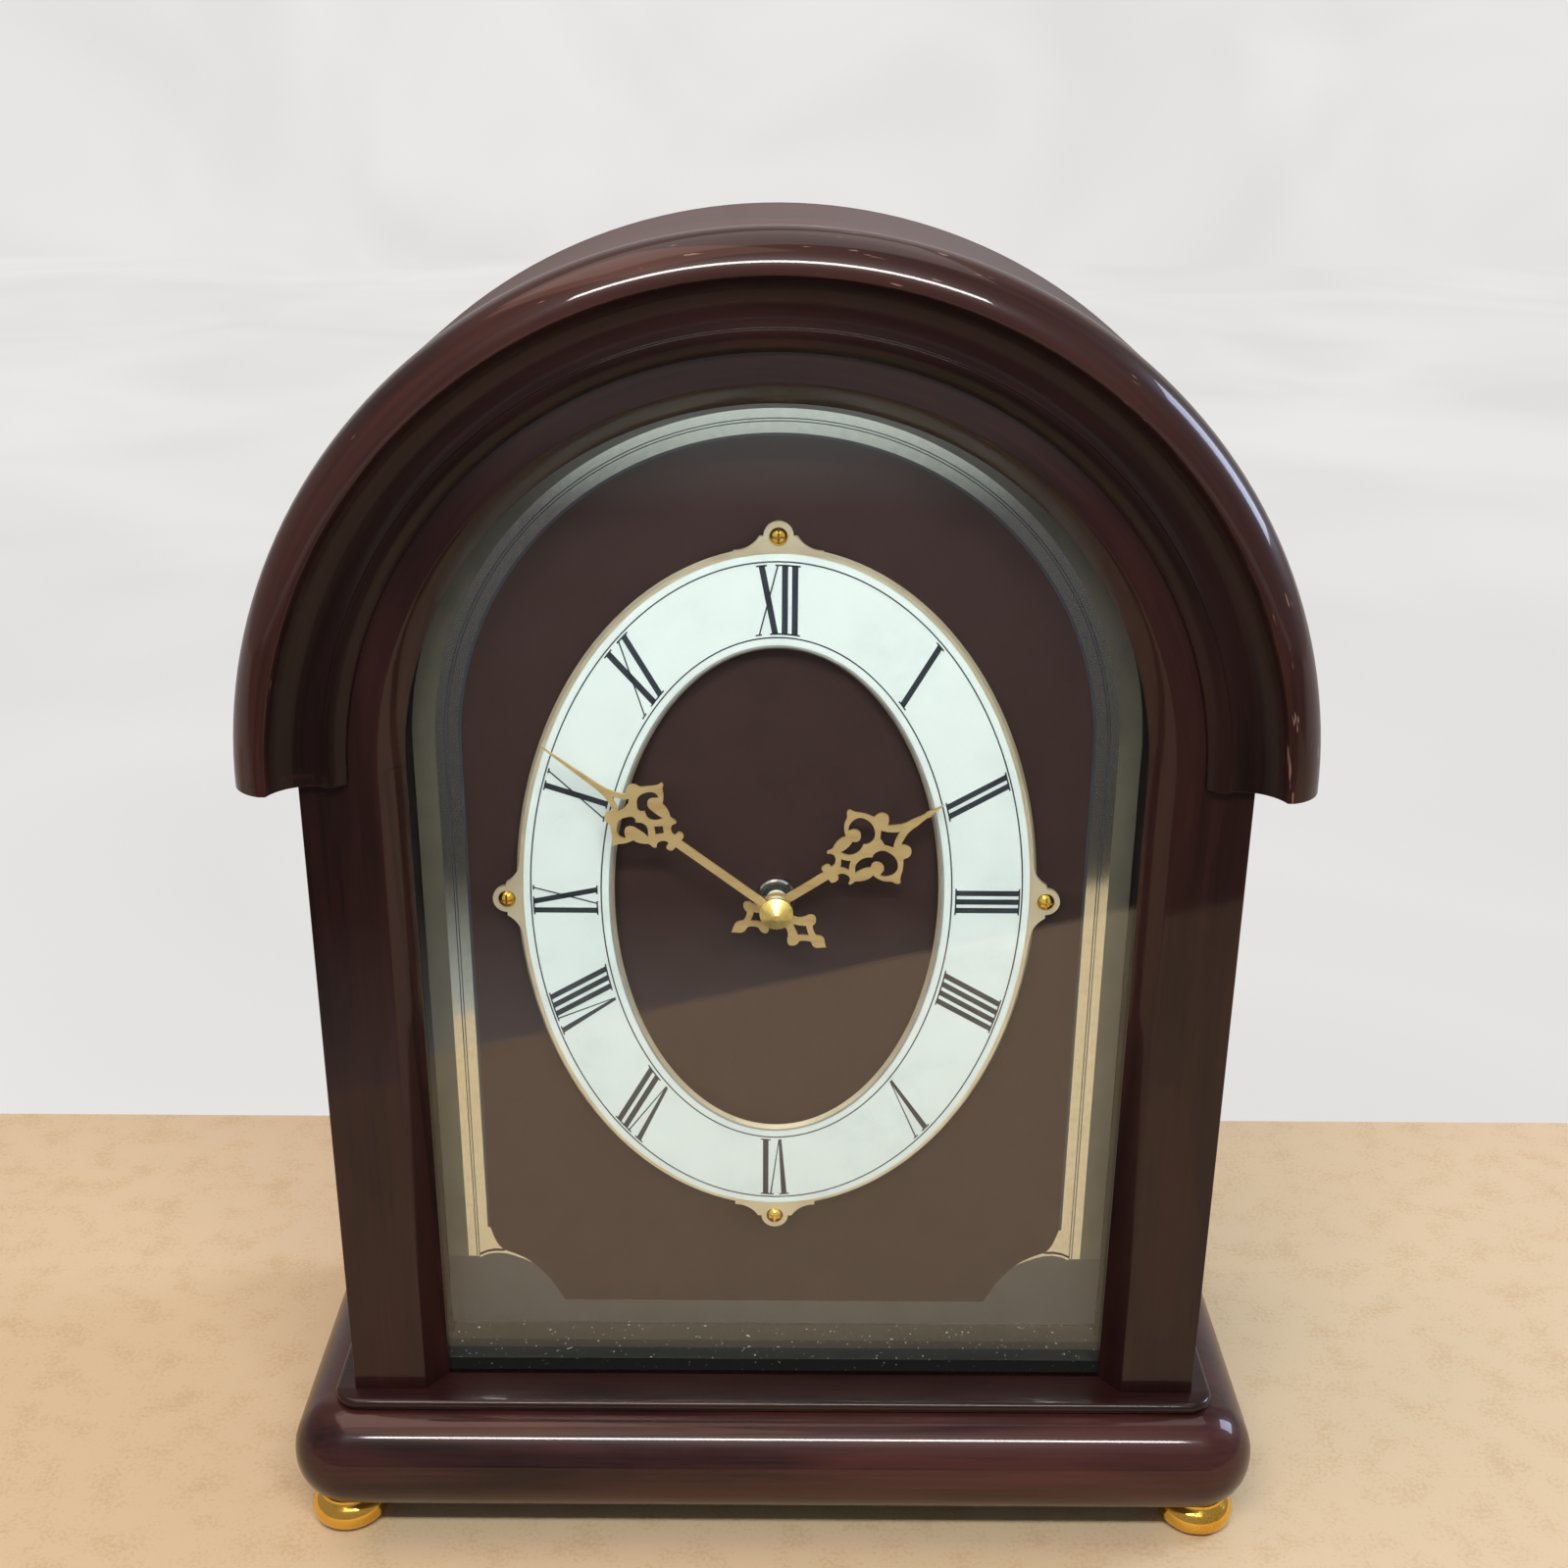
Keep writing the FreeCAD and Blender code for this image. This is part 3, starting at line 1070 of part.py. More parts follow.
def make_housing():
    half, wall = s.box_width / 2, s.box_wall
    shell = box((-half, half), (box_front, box_back), (box_foot, box_top))
    trough_top = box_foot + wall + s.trough_height
    trough = box((-half + wall, half - wall), (box_front + wall, box_back + s.overrun),
                 (box_foot + wall, trough_top))
    bay = box((-half + wall, half - wall), (box_front + wall, box_back + s.overrun),
              (trough_top + s.trough_wall, box_top - wall))
    bush = round_bar("y", s.bush_radius, (box_front - s.bush_length, box_front + wall), ZERO, shaft_z)
    pillars = []
    for x, z in box_screw_spots():
        pillars.append(round_bar("y", s.box_screw_head, (box_front, box_back), x, z))
    for x, z in board_post_spots():
        pillars.append(round_bar("y", s.board_post, (box_front, box_back - s.board_standoff - s.board_thickness), x, z))
    for x in (stator_left + s.coil_core, stator_left + s.stator_length - s.coil_core):
        pillars.append(round_bar("y", s.coil_core, (box_front, stator_plane), x, coil_z))
    tools = []
    for name, x, z, radius in axis_spots[1:]:
        tools.append(round_bar("y", radius + s.running_play, (box_front + bearing_front, box_front + wall + s.overrun), x, z))
    bore = round_bar("y", s.bush_bore, (box_front - s.bush_length - s.overrun, box_front + wall + s.overrun), ZERO, shaft_z)
    for x, z in box_screw_spots():
        tools.append(round_bar("y", s.box_screw_radius, (cover_back - s.box_screw_length, box_back + s.overrun), x, z))
    hollow = cut(shell, trough, bay)
    node("movement_case", cut(fuse(hollow, bush, *pillars), bore, *tools))
    gasket = round_bar("y", s.gasket_radius, (dial_back, box_front), ZERO, shaft_z)
    node("dial_gasket", cut(gasket, round_bar(
        "y", s.bush_radius + s.hole_play, (dial_back - s.overrun, box_front + s.overrun), ZERO, shaft_z)))


def box_screw_spots():
    side = s.box_width / 2 - s.box_screw_inset
    low = box_foot + s.box_wall + s.trough_height + s.trough_wall + s.box_screw_inset
    high = box_top - s.box_screw_inset
    return [(-side, low), (side, low), (-side, high), (side, high)]


def board_centre():
    return (s.box_width / 2 - s.box_wall - s.board_inset - s.board_width / 2,
            box_top - s.box_wall - s.board_inset - s.board_height / 2)


def board_post_spots():
    x, z = board_centre()
    reach = s.board_width / 2 - s.board_post
    return [(x - reach, z), (x + reach, z)]


def make_cover():
    half = s.box_width / 2
    foot = box_foot + s.box_wall + s.trough_height
    plate_block = box((-half, half), (box_back, cover_back), (foot, box_top))
    bosses, drills = [], []
    for name, x, z, radius in axis_spots:
        bosses.append(round_bar("y", radius + s.boss_radius / 2, (box_back - s.boss_length, box_back), x, z))
        end = cover_back + s.overrun if name == "motion" else box_front + bearing_back
        drills.append(round_bar("y", radius + s.running_play, (box_back - s.boss_length - s.overrun, end), x, z))
    for x, z in box_screw_spots():
        drills.append(round_bar("y", s.box_screw_radius, (box_back - s.overrun, cover_back + s.overrun), x, z))
    reach = s.switch_travel / 2 + s.switch_width / 2 + s.running_play * 4
    tall = s.switch_height / 2 + s.running_play * 4
    x, z = -s.switch_side, shaft_z + s.switch_above
    drills.append(box((x - reach, x + reach), (box_back - s.overrun, cover_back + s.overrun), (z - tall, z + tall)))
    drills.append(round_bar("y", s.volume_stem + s.running_play, (box_back - s.overrun, cover_back + s.overrun),
                            -s.volume_side, shaft_z - s.volume_above))
    node("movement_cover", cut(fuse(plate_block, *bosses), *drills))
    screws = [screw_y(s.box_screw_radius, s.box_screw_head, s.box_screw_head_height,
                      s.box_screw_length, cover_back, x, z) for x, z in box_screw_spots()]
    node("movement_screws", group(*screws))


def make_controls():
    knob_foot = cover_back + s.set_knob_gap
    knob = round_bar("y", s.set_knob_radius, (knob_foot, knob_foot + s.set_knob_length), motion_x, shaft_z)
    grips = []
    for turn in range(12):
        angle = math.radians(30 * turn)
        reach = s.set_knob_radius + s.set_knob_grip / 2
        grips.append(round_bar("y", s.set_knob_grip, (knob_foot - s.overrun, knob_foot + s.set_knob_length + s.overrun),
                               motion_x + reach * math.cos(angle), shaft_z + reach * math.sin(angle)))
    seat = round_bar("y", s.motion_arbor, (knob_foot - s.overrun, knob_foot + s.set_knob_length * 0.8), motion_x, shaft_z)
    node("set_knob", cut(knob, seat, *grips))
    # the melody switch rests at the left end of its slot
    x, z = -s.switch_side - s.switch_travel / 2, shaft_z + s.switch_above
    wide, tall, flange = s.switch_width / 2, s.switch_height / 2, s.switch_flange
    inner = box_back - s.running_play
    button = box((x - wide, x + wide), (inner, cover_back + s.switch_rise), (z - tall, z + tall))
    shoe = box((x - wide - flange, x + wide + flange), (inner - s.switch_depth, inner),
               (z - tall - flange, z + tall + flange))
    node("melody_switch", fuse(button, shoe))
    x, z = -s.volume_side, shaft_z - s.volume_above
    dial_foot = cover_back + s.running_play * 4
    knob = round_bar("y", s.volume_radius, (dial_foot, dial_foot + s.volume_rise), x, z)
    stem = round_bar("y", s.volume_stem, (dial_foot - s.volume_stem_length, dial_foot), x, z)
    mark = box((x - s.ring_screw_slot, x + s.ring_screw_slot),
               (dial_foot + s.volume_rise - s.ring_screw_slot, dial_foot + s.volume_rise + s.overrun),
               (z, z + s.volume_radius + s.overrun))
    node("volume_dial", cut(fuse(knob, stem), mark))


def make_motor():
    plane = stator_plane
    y = (plane, plane + s.stator_thickness)
    hole = s.rotor_radius + s.stator_gap
    left = stator_left
    lower = box((left, left + s.stator_length), y, (rotor_z - s.stator_width / 2, rotor_z + s.stator_width / 2))
    ends = [box((x0, x0 + s.coil_flange * 3), y, (rotor_z, coil_z + s.coil_core))
            for x0 in (left, left + s.stator_length - s.coil_flange * 3)]
    window = round_bar("y", hole, (plane - s.overrun, plane + s.stator_thickness + s.overrun), rotor_x, rotor_z)
    core = round_bar("x", s.coil_core, (left + s.coil_flange * 3, left + s.stator_length - s.coil_flange * 3),
                     plane + s.stator_thickness / 2, coil_z)
    node("motor_stator", cut(fuse(lower, core, *ends), window))
    middle = left + s.stator_length / 2
    span = (middle - s.coil_length / 2, middle + s.coil_length / 2)
    axis_y = plane + s.stator_thickness / 2
    winding = round_bar("x", s.coil_radius, span, axis_y, coil_z)
    caps = [round_bar("x", s.coil_radius + s.coil_flange / 2, (x0, x0 + s.coil_flange), axis_y, coil_z)
            for x0 in (span[0] - s.coil_flange, span[1])]
    bore = round_bar("x", s.coil_core, (span[0] - s.coil_flange * 2, span[1] + s.coil_flange * 2), axis_y, coil_z)
    node("motor_coil", cut(fuse(winding, *caps), bore))


def make_board():
    x, z = board_centre()
    y0 = box_back - s.board_standoff - s.board_thickness
    half_w, half_h = s.board_width / 2, s.board_height / 2
    board = box((x - half_w, x + half_w), (y0, y0 + s.board_thickness), (z - half_h, z + half_h))
    size = s.chip_size / 2
    chip = box((x - size, x + size), (y0 + s.board_thickness, y0 + s.board_thickness + s.chip_height),
               (z - size, z + size))
    crystal = round_bar("z", s.coil_core, (z + size * 2, z + size * 3.4), x,
                        y0 + s.board_thickness + s.coil_core)
    node("circuit_board", board)
    node("board_parts", group(chip, crystal))


def make_batteries():
    y = box_front + s.box_wall + s.battery_radius + s.trough_play
    z = box_foot + s.box_wall + s.trough_height / 2
    half = s.box_width / 2 - s.box_wall
    plate_t = s.contact_thickness
    right = half - plate_t
    for index, label in enumerate(("battery_right", "battery_left")):
        nub_end = right - (s.battery_length + s.battery_nub_length) * index
        can_end = nub_end - s.battery_nub_length
        can = round_bar("x", s.battery_radius, (can_end - s.battery_length, can_end), y, z)
        nub = round_bar("x", s.battery_nub, (can_end, nub_end), y, z)
        node(label, fuse(can, nub))
    last = right - (s.battery_length + s.battery_nub_length) * 2
    wide = s.contact_width / 2
    tab_y, tab_z = (y - wide, y + wide), (z - wide, z + wide)
    plus = box((right, half), tab_y, tab_z)
    minus = box((-half, -half + plate_t), tab_y, tab_z)
    spring = taper("x", s.contact_spring * 1.3, s.contact_spring * 0.7, (-half + plate_t, last), y, z)
    node("battery_contacts", group(plus, fuse(minus, spring)))


# Loudspeaker on the back panel

def speaker_screw_spots():
    reach = s.speaker_radius + s.speaker_ear / 2
    turn = math.radians(45)
    spots = []
    for side in (-1, 1):
        for level in (-1, 1):
            spots.append((reach * (math.cos(turn) * side), speaker_z + reach * (math.sin(turn) * level)))
    return spots


def make_speaker():
    z = speaker_z
    back = panel_front
    flange_front = back - s.speaker_flange
    waist = back - s.speaker_depth
    flange = round_bar("y", s.speaker_radius, (flange_front, back), ZERO, z)
    ears = [round_bar("y", s.speaker_ear, (flange_front, back), x, zz) for x, zz in speaker_screw_spots()]
    bowl = taper("y", s.speaker_neck, s.speaker_radius - s.speaker_flange * 2, (waist, flange_front), ZERO, z)
    wall = s.speaker_flange
    hollow = taper("y", s.speaker_neck - wall, s.speaker_radius - wall * 3, (waist + wall, flange_front), ZERO, z)
    mouth = round_bar("y", s.speaker_radius - wall * 3, (flange_front, back + s.overrun), ZERO, z)
    drills = [round_bar("y", s.speaker_screw_radius, (flange_front - s.overrun, back + s.overrun), x, zz)
              for x, zz in speaker_screw_spots()]
    node("speaker_basket", cut(fuse(flange, bowl, *ears), hollow, mouth, *drills))
    node("speaker_magnet", round_bar("y", s.magnet_radius, (waist - s.magnet_height, waist), ZERO, z))
    rim, apex = s.cone_radius, s.cone_apex
    depth, skin = s.cone_depth, s.cone_thickness
    edge = s.speaker_radius - wall * 3
    turned("speaker_cone", "y", [
        (ZERO, -depth), (apex, -depth), (rim - skin * 2, -skin * 2), (edge, -skin * 2), (edge, -skin),
        (rim - skin * 3, -skin), (apex - skin, -depth + skin), (ZERO, -depth + skin)],
        ZERO, back, z)
    screws = [screw_y(s.speaker_screw_radius, s.speaker_screw_head, s.speaker_screw_head_height,
                      s.panel_thickness + s.speaker_screw_length, panel_back, x, zz)
              for x, zz in speaker_screw_spots()]
    node("speaker_screws", group(*screws))


# The speaker lead: straight runs joined by tangent arcs, from the movement up to the terminal strip

def lead_path(points):
    """Edges along a route whose corners are as round as their two runs allow."""
    trims, edges = [], []
    for before, here, after in zip(points, points[1:], points[2:]):
        a, b = (before - here), (after - here)
        trim = min(a.Length, b.Length) * 0.45
        half_turn = (math.pi - a.getAngle(b)) / 2
        trims.append((trim, trim / math.tan(half_turn)))
    start = points[0]
    for (trim, radius), before, here, after in zip(trims, points, points[1:], points[2:]):
        enter = here + (before - here).normalize() * trim
        leave = here + (after - here).normalize() * trim
        inward = ((before - here).normalize() + (after - here).normalize()).normalize()
        reach = math.hypot(trim, radius) - radius
        edges.append(Part.LineSegment(start, enter).toShape())
        edges.append(Part.Arc(enter, here + inward * reach, leave).toShape())
        print("lead corner radius %.1f mm" % radius)
        start = leave
    edges.append(Part.LineSegment(start, points[-1]).toShape())
    return Part.Wire(edges)


def make_lead():
    x0, top = float(s.lead_exit_side), float(box_top)
    y0 = float(box_front + s.box_depth * 0.7)
    basket_front = float(panel_front - s.speaker_depth)
    strip_z = float(speaker_z - s.magnet_radius - s.terminal_height)
    strip_y = basket_front - float(s.terminal_thickness)
    run = float(s.terminal_height)
    points = [FreeCAD.Vector(x0, y0, top), FreeCAD.Vector(x0, y0, top + run * 1.3),
              FreeCAD.Vector(x0 - run * 0.9, y0 + run * 0.8, top + run * 2.4),
              FreeCAD.Vector(0, strip_y - run * 1.2, strip_z + run * 0.5),
              FreeCAD.Vector(0, strip_y, strip_z + run * 0.5)]
    path = lead_path(points)
    rim = Part.Wire(Part.makeCircle(float(s.lead_radius), points[0], ABOUT_Z))
    item = doc.addObject("Part::Feature", "speaker_lead")
    item.Shape = path.makePipeShell([rim], True, False)
    area = math.pi * float(s.lead_radius) ** 2
    print("speaker lead %.1f mm long, volume %.1f against %.1f" % (
        path.Length, item.Shape.Volume, area * path.Length))
    node("speaker_lead", item)
    wide = s.terminal_width / 2
    strip_z_size = speaker_z - s.magnet_radius - s.terminal_height
    strip_back = panel_front - s.speaker_depth
    strip = box((-wide, wide), (strip_back - s.terminal_thickness, strip_back + s.speaker_flange),
                (strip_z_size, strip_z_size + s.terminal_height))
    node("speaker_terminals", strip)


make_base()
make_tier()
make_feet()
make_front_frame()
make_glass()
make_hood()
make_shell()
make_back_panel()
make_door()
make_hinges()
make_dial()
make_ring()
make_hands()
make_housing()
make_cover()
make_train()
make_controls()
make_motor()
make_board()
make_batteries()
make_speaker()
make_lead()
doc.recompute()

faults = [item.Label for item in doc.Objects if {"Invalid", "Error"} & set(item.State)]
for item in nodes:
    shape = item.Shape
    if shape.isNull() or not shape.isValid() or shape.Volume <= 0:
        faults.append(item.Label)
if faults:
    raise RuntimeError("pieces that did not build: " + ", ".join(sorted(set(faults))))

os.makedirs("parts", exist_ok=True)
for item in nodes:
    item.Shape.exportStep("parts/%s.step" % item.Label)
print("%d nodes" % len(nodes))
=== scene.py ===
import math
import bpy
import bmesh
from mathutils import Matrix, Vector


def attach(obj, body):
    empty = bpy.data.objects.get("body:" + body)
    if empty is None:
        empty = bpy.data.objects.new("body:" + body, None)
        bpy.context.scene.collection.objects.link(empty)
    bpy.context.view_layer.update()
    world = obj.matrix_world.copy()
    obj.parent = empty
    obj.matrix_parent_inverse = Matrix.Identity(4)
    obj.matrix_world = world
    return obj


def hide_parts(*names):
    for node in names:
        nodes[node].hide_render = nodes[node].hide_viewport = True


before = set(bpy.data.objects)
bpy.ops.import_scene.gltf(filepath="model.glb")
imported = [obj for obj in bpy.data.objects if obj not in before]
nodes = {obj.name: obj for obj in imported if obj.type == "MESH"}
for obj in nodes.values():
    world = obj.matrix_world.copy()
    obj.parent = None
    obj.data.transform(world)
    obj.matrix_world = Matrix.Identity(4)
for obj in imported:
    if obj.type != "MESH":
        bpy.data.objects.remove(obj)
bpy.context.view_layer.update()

scene = bpy.context.scene
mm = 0.001
arch = {"z": 214.0, "floorZ": 41.0, "steps": 96, "printSteps": 72, "grainR": 105.0}
print("frame loaded")

# camera, floor, backdrop and lamps
view = {"place": (0.76, -453.59, 376.34), "yaw": 0.122, "pitch": 21.764, "roll": 0.409,
        "lens": 43.303, "sensor": 36.0, "clip": (0.01, 50.0)}


def aimCamera():
    camera = bpy.data.objects.new("camera", bpy.data.cameras.new("camera"))
    camera.data.lens, camera.data.sensor_width = view["lens"], view["sensor"]
    camera.data.clip_start, camera.data.clip_end = view["clip"]
    yaw, pitch, roll = (math.radians(view[key]) for key in ("yaw", "pitch", "roll"))
    level = Vector((math.cos(yaw), -math.sin(yaw), 0.0))
    ahead = Vector((math.sin(yaw) * math.cos(pitch), math.cos(yaw) * math.cos(pitch),
                    -math.sin(pitch)))
    over = level.cross(ahead)
    right = level * math.cos(roll) + over * math.sin(roll)
    up = over * math.cos(roll) - level * math.sin(roll)
    turned = Matrix((right, up, -ahead)).transposed().to_4x4()
    camera.matrix_world = Matrix.Translation(Vector(view["place"]) * mm) @ turned
    scene.collection.objects.link(camera)
    scene.camera = camera


def linear(hexColour):
    parts = [int(hexColour[at:at + 2], 16) / 255 for at in (1, 3, 5)]
    straight = [c / 12.92 if c <= 0.04045 else ((c + 0.055) / 1.055) ** 2.4 for c in parts]
    return (*straight, 1.0)


def addNode(tree, kind, links=None, stops=None, **settings):
    made = tree.nodes.new(kind)
    for key, value in settings.items():
        setattr(made, key, value)
    for key, value in (links or {}).items():
        socket = made.inputs[key]
        if isinstance(value, bpy.types.Node):
            tree.links.new(value.outputs[0], socket)
        elif isinstance(value, bpy.types.NodeSocket):
            tree.links.new(value, socket)
        else:
            socket.default_value = linear(value) if isinstance(value, str) else value
    for at, (place, colour) in enumerate(stops or []):
        ramp = made.color_ramp.elements
        stop = ramp[at] if at < 2 else ramp.new(place)
        stop.position = place
        stop.color = linear(colour) if isinstance(colour, str) else (colour,) * 3 + (1.0,)
    return made


def newMaterial(name):
    material = bpy.data.materials.new(name)
    material.use_nodes = True
    material.node_tree.nodes.clear()
    return material, material.node_tree


# plain finishes: a noise of about 11 mm drifts the colour, and a fine one of the grit's size in
# mm sets roughness and relief; real grit is finer, and is drawn as coarse as it needs to show
def finish(name, dark, light, grit, rough=(0.3, 0.4), relief=0.0, stretch=(1, 1, 1), **shader):
    material, tree = newMaterial(name)
    coords = addNode(tree, "ShaderNodeTexCoord").outputs["Object"]
    along = addNode(tree, "ShaderNodeMapping", {"Vector": coords, "Scale": stretch})
    broad = addNode(tree, "ShaderNodeTexNoise", {"Vector": along, "Scale": 90.0, "Detail": 4.0})
    fine = addNode(tree, "ShaderNodeTexNoise", {"Vector": along, "Scale": 1.0 / (grit * mm),
                                                "Detail": 3.0})
    mixed = addNode(tree, "ShaderNodeMath", {0: broad, 1: fine}, operation="ADD")
    colour = addNode(tree, "ShaderNodeValToRGB", {"Fac": mixed}, stops=[(0.75, dark), (1.0, light)])
    dull = addNode(tree, "ShaderNodeMapRange", {"Value": fine, "From Min": 0.3, "From Max": 0.7,
                                                "To Min": rough[0], "To Max": rough[1]})
    links = {"Base Color": colour, "Roughness": dull}
    if relief:
        links["Normal"] = addNode(tree, "ShaderNodeBump", {"Height": fine, "Strength": 0.6,
                                                           "Distance": relief * mm})
    links.update(shader)
    surface = addNode(tree, "ShaderNodeBsdfPrincipled", links)
    addNode(tree, "ShaderNodeOutputMaterial", {"Surface": surface})
    return material


# walnut-stained hardwood under clear gloss lacquer: long pores, slow colour drift, pale rubs;
# the scales are per metre: pores of 1 by 36 mm are coarser than real ones, so that they show
woodGrain = {"drift": (60, 60, 9), "pores": (900, 900, 28), "flecks": (850, 850, 130),
             "patches": 22.0, "poreShare": 0.35, "poreDepth": 0.05, "rough": (0.30, 0.42),
             "rubbed": "#8c7264", "dustAndSheen": "#9a9394"}


def lacqueredWood(name, dark="#110808", light="#2d1614", rubbed=0.0, roughened=0.0, coat=0.45,
                  dust=0.0):
    material, tree = newMaterial(name)
    coords = addNode(tree, "ShaderNodeAttribute", attribute_name="grain").outputs["Vector"]
    drift = addNode(tree, "ShaderNodeMapping", {"Vector": coords, "Scale": woodGrain["drift"]})
    slow = addNode(tree, "ShaderNodeTexNoise", {"Vector": drift, "Scale": 1.0, "Detail": 5.0,
                                                "Distortion": 0.6})
    lines = addNode(tree, "ShaderNodeMapping", {"Vector": coords, "Scale": woodGrain["pores"]})
    pores = addNode(tree, "ShaderNodeTexNoise", {"Vector": lines, "Scale": 1.0, "Detail": 3.0})
    tone = addNode(tree, "ShaderNodeMath", {0: pores, 1: woodGrain["poreShare"], 2: slow},
                   operation="MULTIPLY_ADD")
    colour = addNode(tree, "ShaderNodeValToRGB", {"Fac": tone}, stops=[(0.45, dark), (0.9, light)])
    flecks = addNode(tree, "ShaderNodeMapping", {"Vector": coords, "Scale": woodGrain["flecks"]})
    flecks = addNode(tree, "ShaderNodeTexNoise", {"Vector": flecks, "Scale": 1.0, "Detail": 2.0})
    patches = addNode(tree, "ShaderNodeTexNoise", {"Vector": coords, "Scale": woodGrain["patches"],
                                                   "Detail": 1.0})
    where = addNode(tree, "ShaderNodeMath", {0: patches, 1: 0.5, 2: flecks},
                    operation="MULTIPLY_ADD")
    rub = addNode(tree, "ShaderNodeValToRGB", {"Fac": where}, stops=[(0.955, 0.0), (0.985, rubbed)])
    worn = addNode(tree, "ShaderNodeMix", {"Factor": rub, "A": colour, "B": woodGrain["rubbed"]},
                   data_type="RGBA").outputs["Result"]
    if dust:            # dust and a painted sheen lie where the wood faces up: up-facing faces are painted paler
        normal = addNode(tree, "ShaderNodeNewGeometry").outputs["Normal"]
        up = addNode(tree, "ShaderNodeSeparateXYZ", {"Vector": normal}).outputs["Z"]
        lies = addNode(tree, "ShaderNodeMapRange", {"Value": up, "From Min": 0.1, "From Max": 0.95,
                                                    "To Max": dust})
        worn = addNode(tree, "ShaderNodeMix", {"Factor": lies, "A": worn, "B": woodGrain["dustAndSheen"]},
                       data_type="RGBA").outputs["Result"]
    low, high = woodGrain["rough"]
    dull = addNode(tree, "ShaderNodeMapRange", {
        "Value": slow, "From Min": 0.3, "From Max": 0.7,
        "To Min": low + roughened, "To Max": high + roughened})
    relief = addNode(tree, "ShaderNodeBump", {"Height": pores, "Strength": 0.25,
                                              "Distance": woodGrain["poreDepth"] * mm})
    surface = addNode(tree, "ShaderNodeBsdfPrincipled", {
        "Base Color": worn, "Roughness": dull, "Normal": relief, "IOR": 1.5,
        "Specular IOR Level": 0.12, "Coat Weight": coat, "Coat Roughness": 0.05, "Coat IOR": 1.5})
    addNode(tree, "ShaderNodeOutputMaterial", {"Surface": surface})
    return material


def stagePiece(name, bm, material):
    mesh = bpy.data.meshes.new(name)
    bm.to_mesh(mesh)
    bm.free()
    mesh.materials.append(material)
    piece = bpy.data.objects.new(name, mesh)
    scene.collection.objects.link(piece)
    return piece


def newVerts(geom):
    return [v for v in geom if isinstance(v, bmesh.types.BMVert)]


# the board lies askew: its front edge runs back to the left; the cloth's sizes are in metres
room = {"board": ("#c1ab88", "#cbb898"), "cloth": "#e4e2df", "paintedFolds": ("#e1dfde", "#ebe9e8"),
        "corners": [(-900, -64), (-600, -64), (900, -759), (900, 153), (-900, 153)],
        "clothHalf": 3.0, "clothZ": -0.0012, "rearFrom": 2.9, "rise": (0, 0.4, 3.0)}


def clothMaterial():        # white cotton sheet: even and matt, with a faint painted shade of folds; in gloss it shows a painted dark reflection before the board
    material, tree = newMaterial("whiteSheet")
    rays = addNode(tree, "ShaderNodeLightPath").outputs
    seen = addNode(tree, "ShaderNodeMath", {0: rays["Is Camera Ray"], 1: rays["Is Glossy Ray"]},
                   operation="MAXIMUM")
    seen = addNode(tree, "ShaderNodeMath", {0: seen, 1: rays["Is Transmission Ray"]},
                   operation="MAXIMUM")
    coords = addNode(tree, "ShaderNodeTexCoord").outputs["Object"]
    # paintedFolds: a faint painted shade of folds on the flat sheet
    paintedFolds = addNode(tree, "ShaderNodeTexNoise", {"Vector": coords, "Scale": 2.2, "Detail": 2.0,
                                                 "Distortion": 0.8})
    shade = addNode(tree, "ShaderNodeValToRGB", {"Fac": paintedFolds},
                    stops=list(zip((0.3, 0.7), room["paintedFolds"])))
    lit = addNode(tree, "ShaderNodeBsdfDiffuse", {"Color": room["cloth"]})
    # for glossy rays only, a darker band is painted before the board: a painted dark reflection
    # that darkens the wood's gloss
    ahead = addNode(tree, "ShaderNodeSeparateXYZ", {"Vector": coords}).outputs["Y"]
    ahead = addNode(tree, "ShaderNodeMapRange", {"Value": ahead, "From Min": -1.8,
                                                 "From Max": -0.2})
    paintedDarkReflection = addNode(tree, "ShaderNodeValToRGB", {"Fac": ahead}, stops=[
        (0.12, "#e6ebea"), (0.97, "#d6d3cf"), (0.38, "#605b60"), (0.86, "#494442")])
    shown = addNode(tree, "ShaderNodeMix", {"Factor": rays["Is Glossy Ray"], "A": shade, "B": paintedDarkReflection},
                    data_type="RGBA").outputs["Result"]
    plain = addNode(tree, "ShaderNodeEmission", {"Color": shown, "Strength": 1.0})
    surface = addNode(tree, "ShaderNodeMixShader", {0: seen, 1: lit, 2: plain})
    addNode(tree, "ShaderNodeOutputMaterial", {"Surface": surface})
    return material


def makeRoom():
    card = finish("brownBoardSheet", *room["board"], 1.2, (0.75, 0.85))     # fibreboard: matt, fawn
    bm = bmesh.new()
    bm.faces.new([bm.verts.new((x * mm, y * mm, 0)) for x, y in room["corners"]])
    stagePiece("floorBoard", bm, card)

    bm = bmesh.new()
    bmesh.ops.create_grid(bm, x_segments=1, y_segments=1, size=room["clothHalf"])
    bmesh.ops.translate(bm, vec=(0, 0, room["clothZ"]), verts=bm.verts)
    rear = [e for e in bm.edges if all(v.co.y > room["rearFrom"] for v in e.verts)]
    grown = bmesh.ops.extrude_edge_only(bm, edges=rear)["geom"]
    bmesh.ops.translate(bm, vec=room["rise"], verts=newVerts(grown))
    stagePiece("whiteCloth", bm, clothMaterial())


lamps = [       # places in mm, sizes in metres
    {"name": "frontPanel", "place": (0, -560, 752), "aim": (0, -50, 220), "size": (0.64, 0.054),
     "watts": 6.4, "colour": "#fffaf4"},
    {"name": "ceilingPanel", "place": (-100, 250, 1500), "aim": (0, 0, 150), "size": (1.5, 1.0),
     "watts": 7.4, "colour": "#fff6ec"},
    {"name": "warmWall", "place": (-380, -190, 1250), "aim": (0, 0, 250), "size": (1.0, 0.5),
     "watts": 3.6, "colour": "#ffb59e"},
    {"name": "windowRight", "place": (1215, 255, 740), "aim": (0, 0, 220), "size": (0.4, 0.55),
     "watts": 10.0, "colour": "#d4e2ff"}]


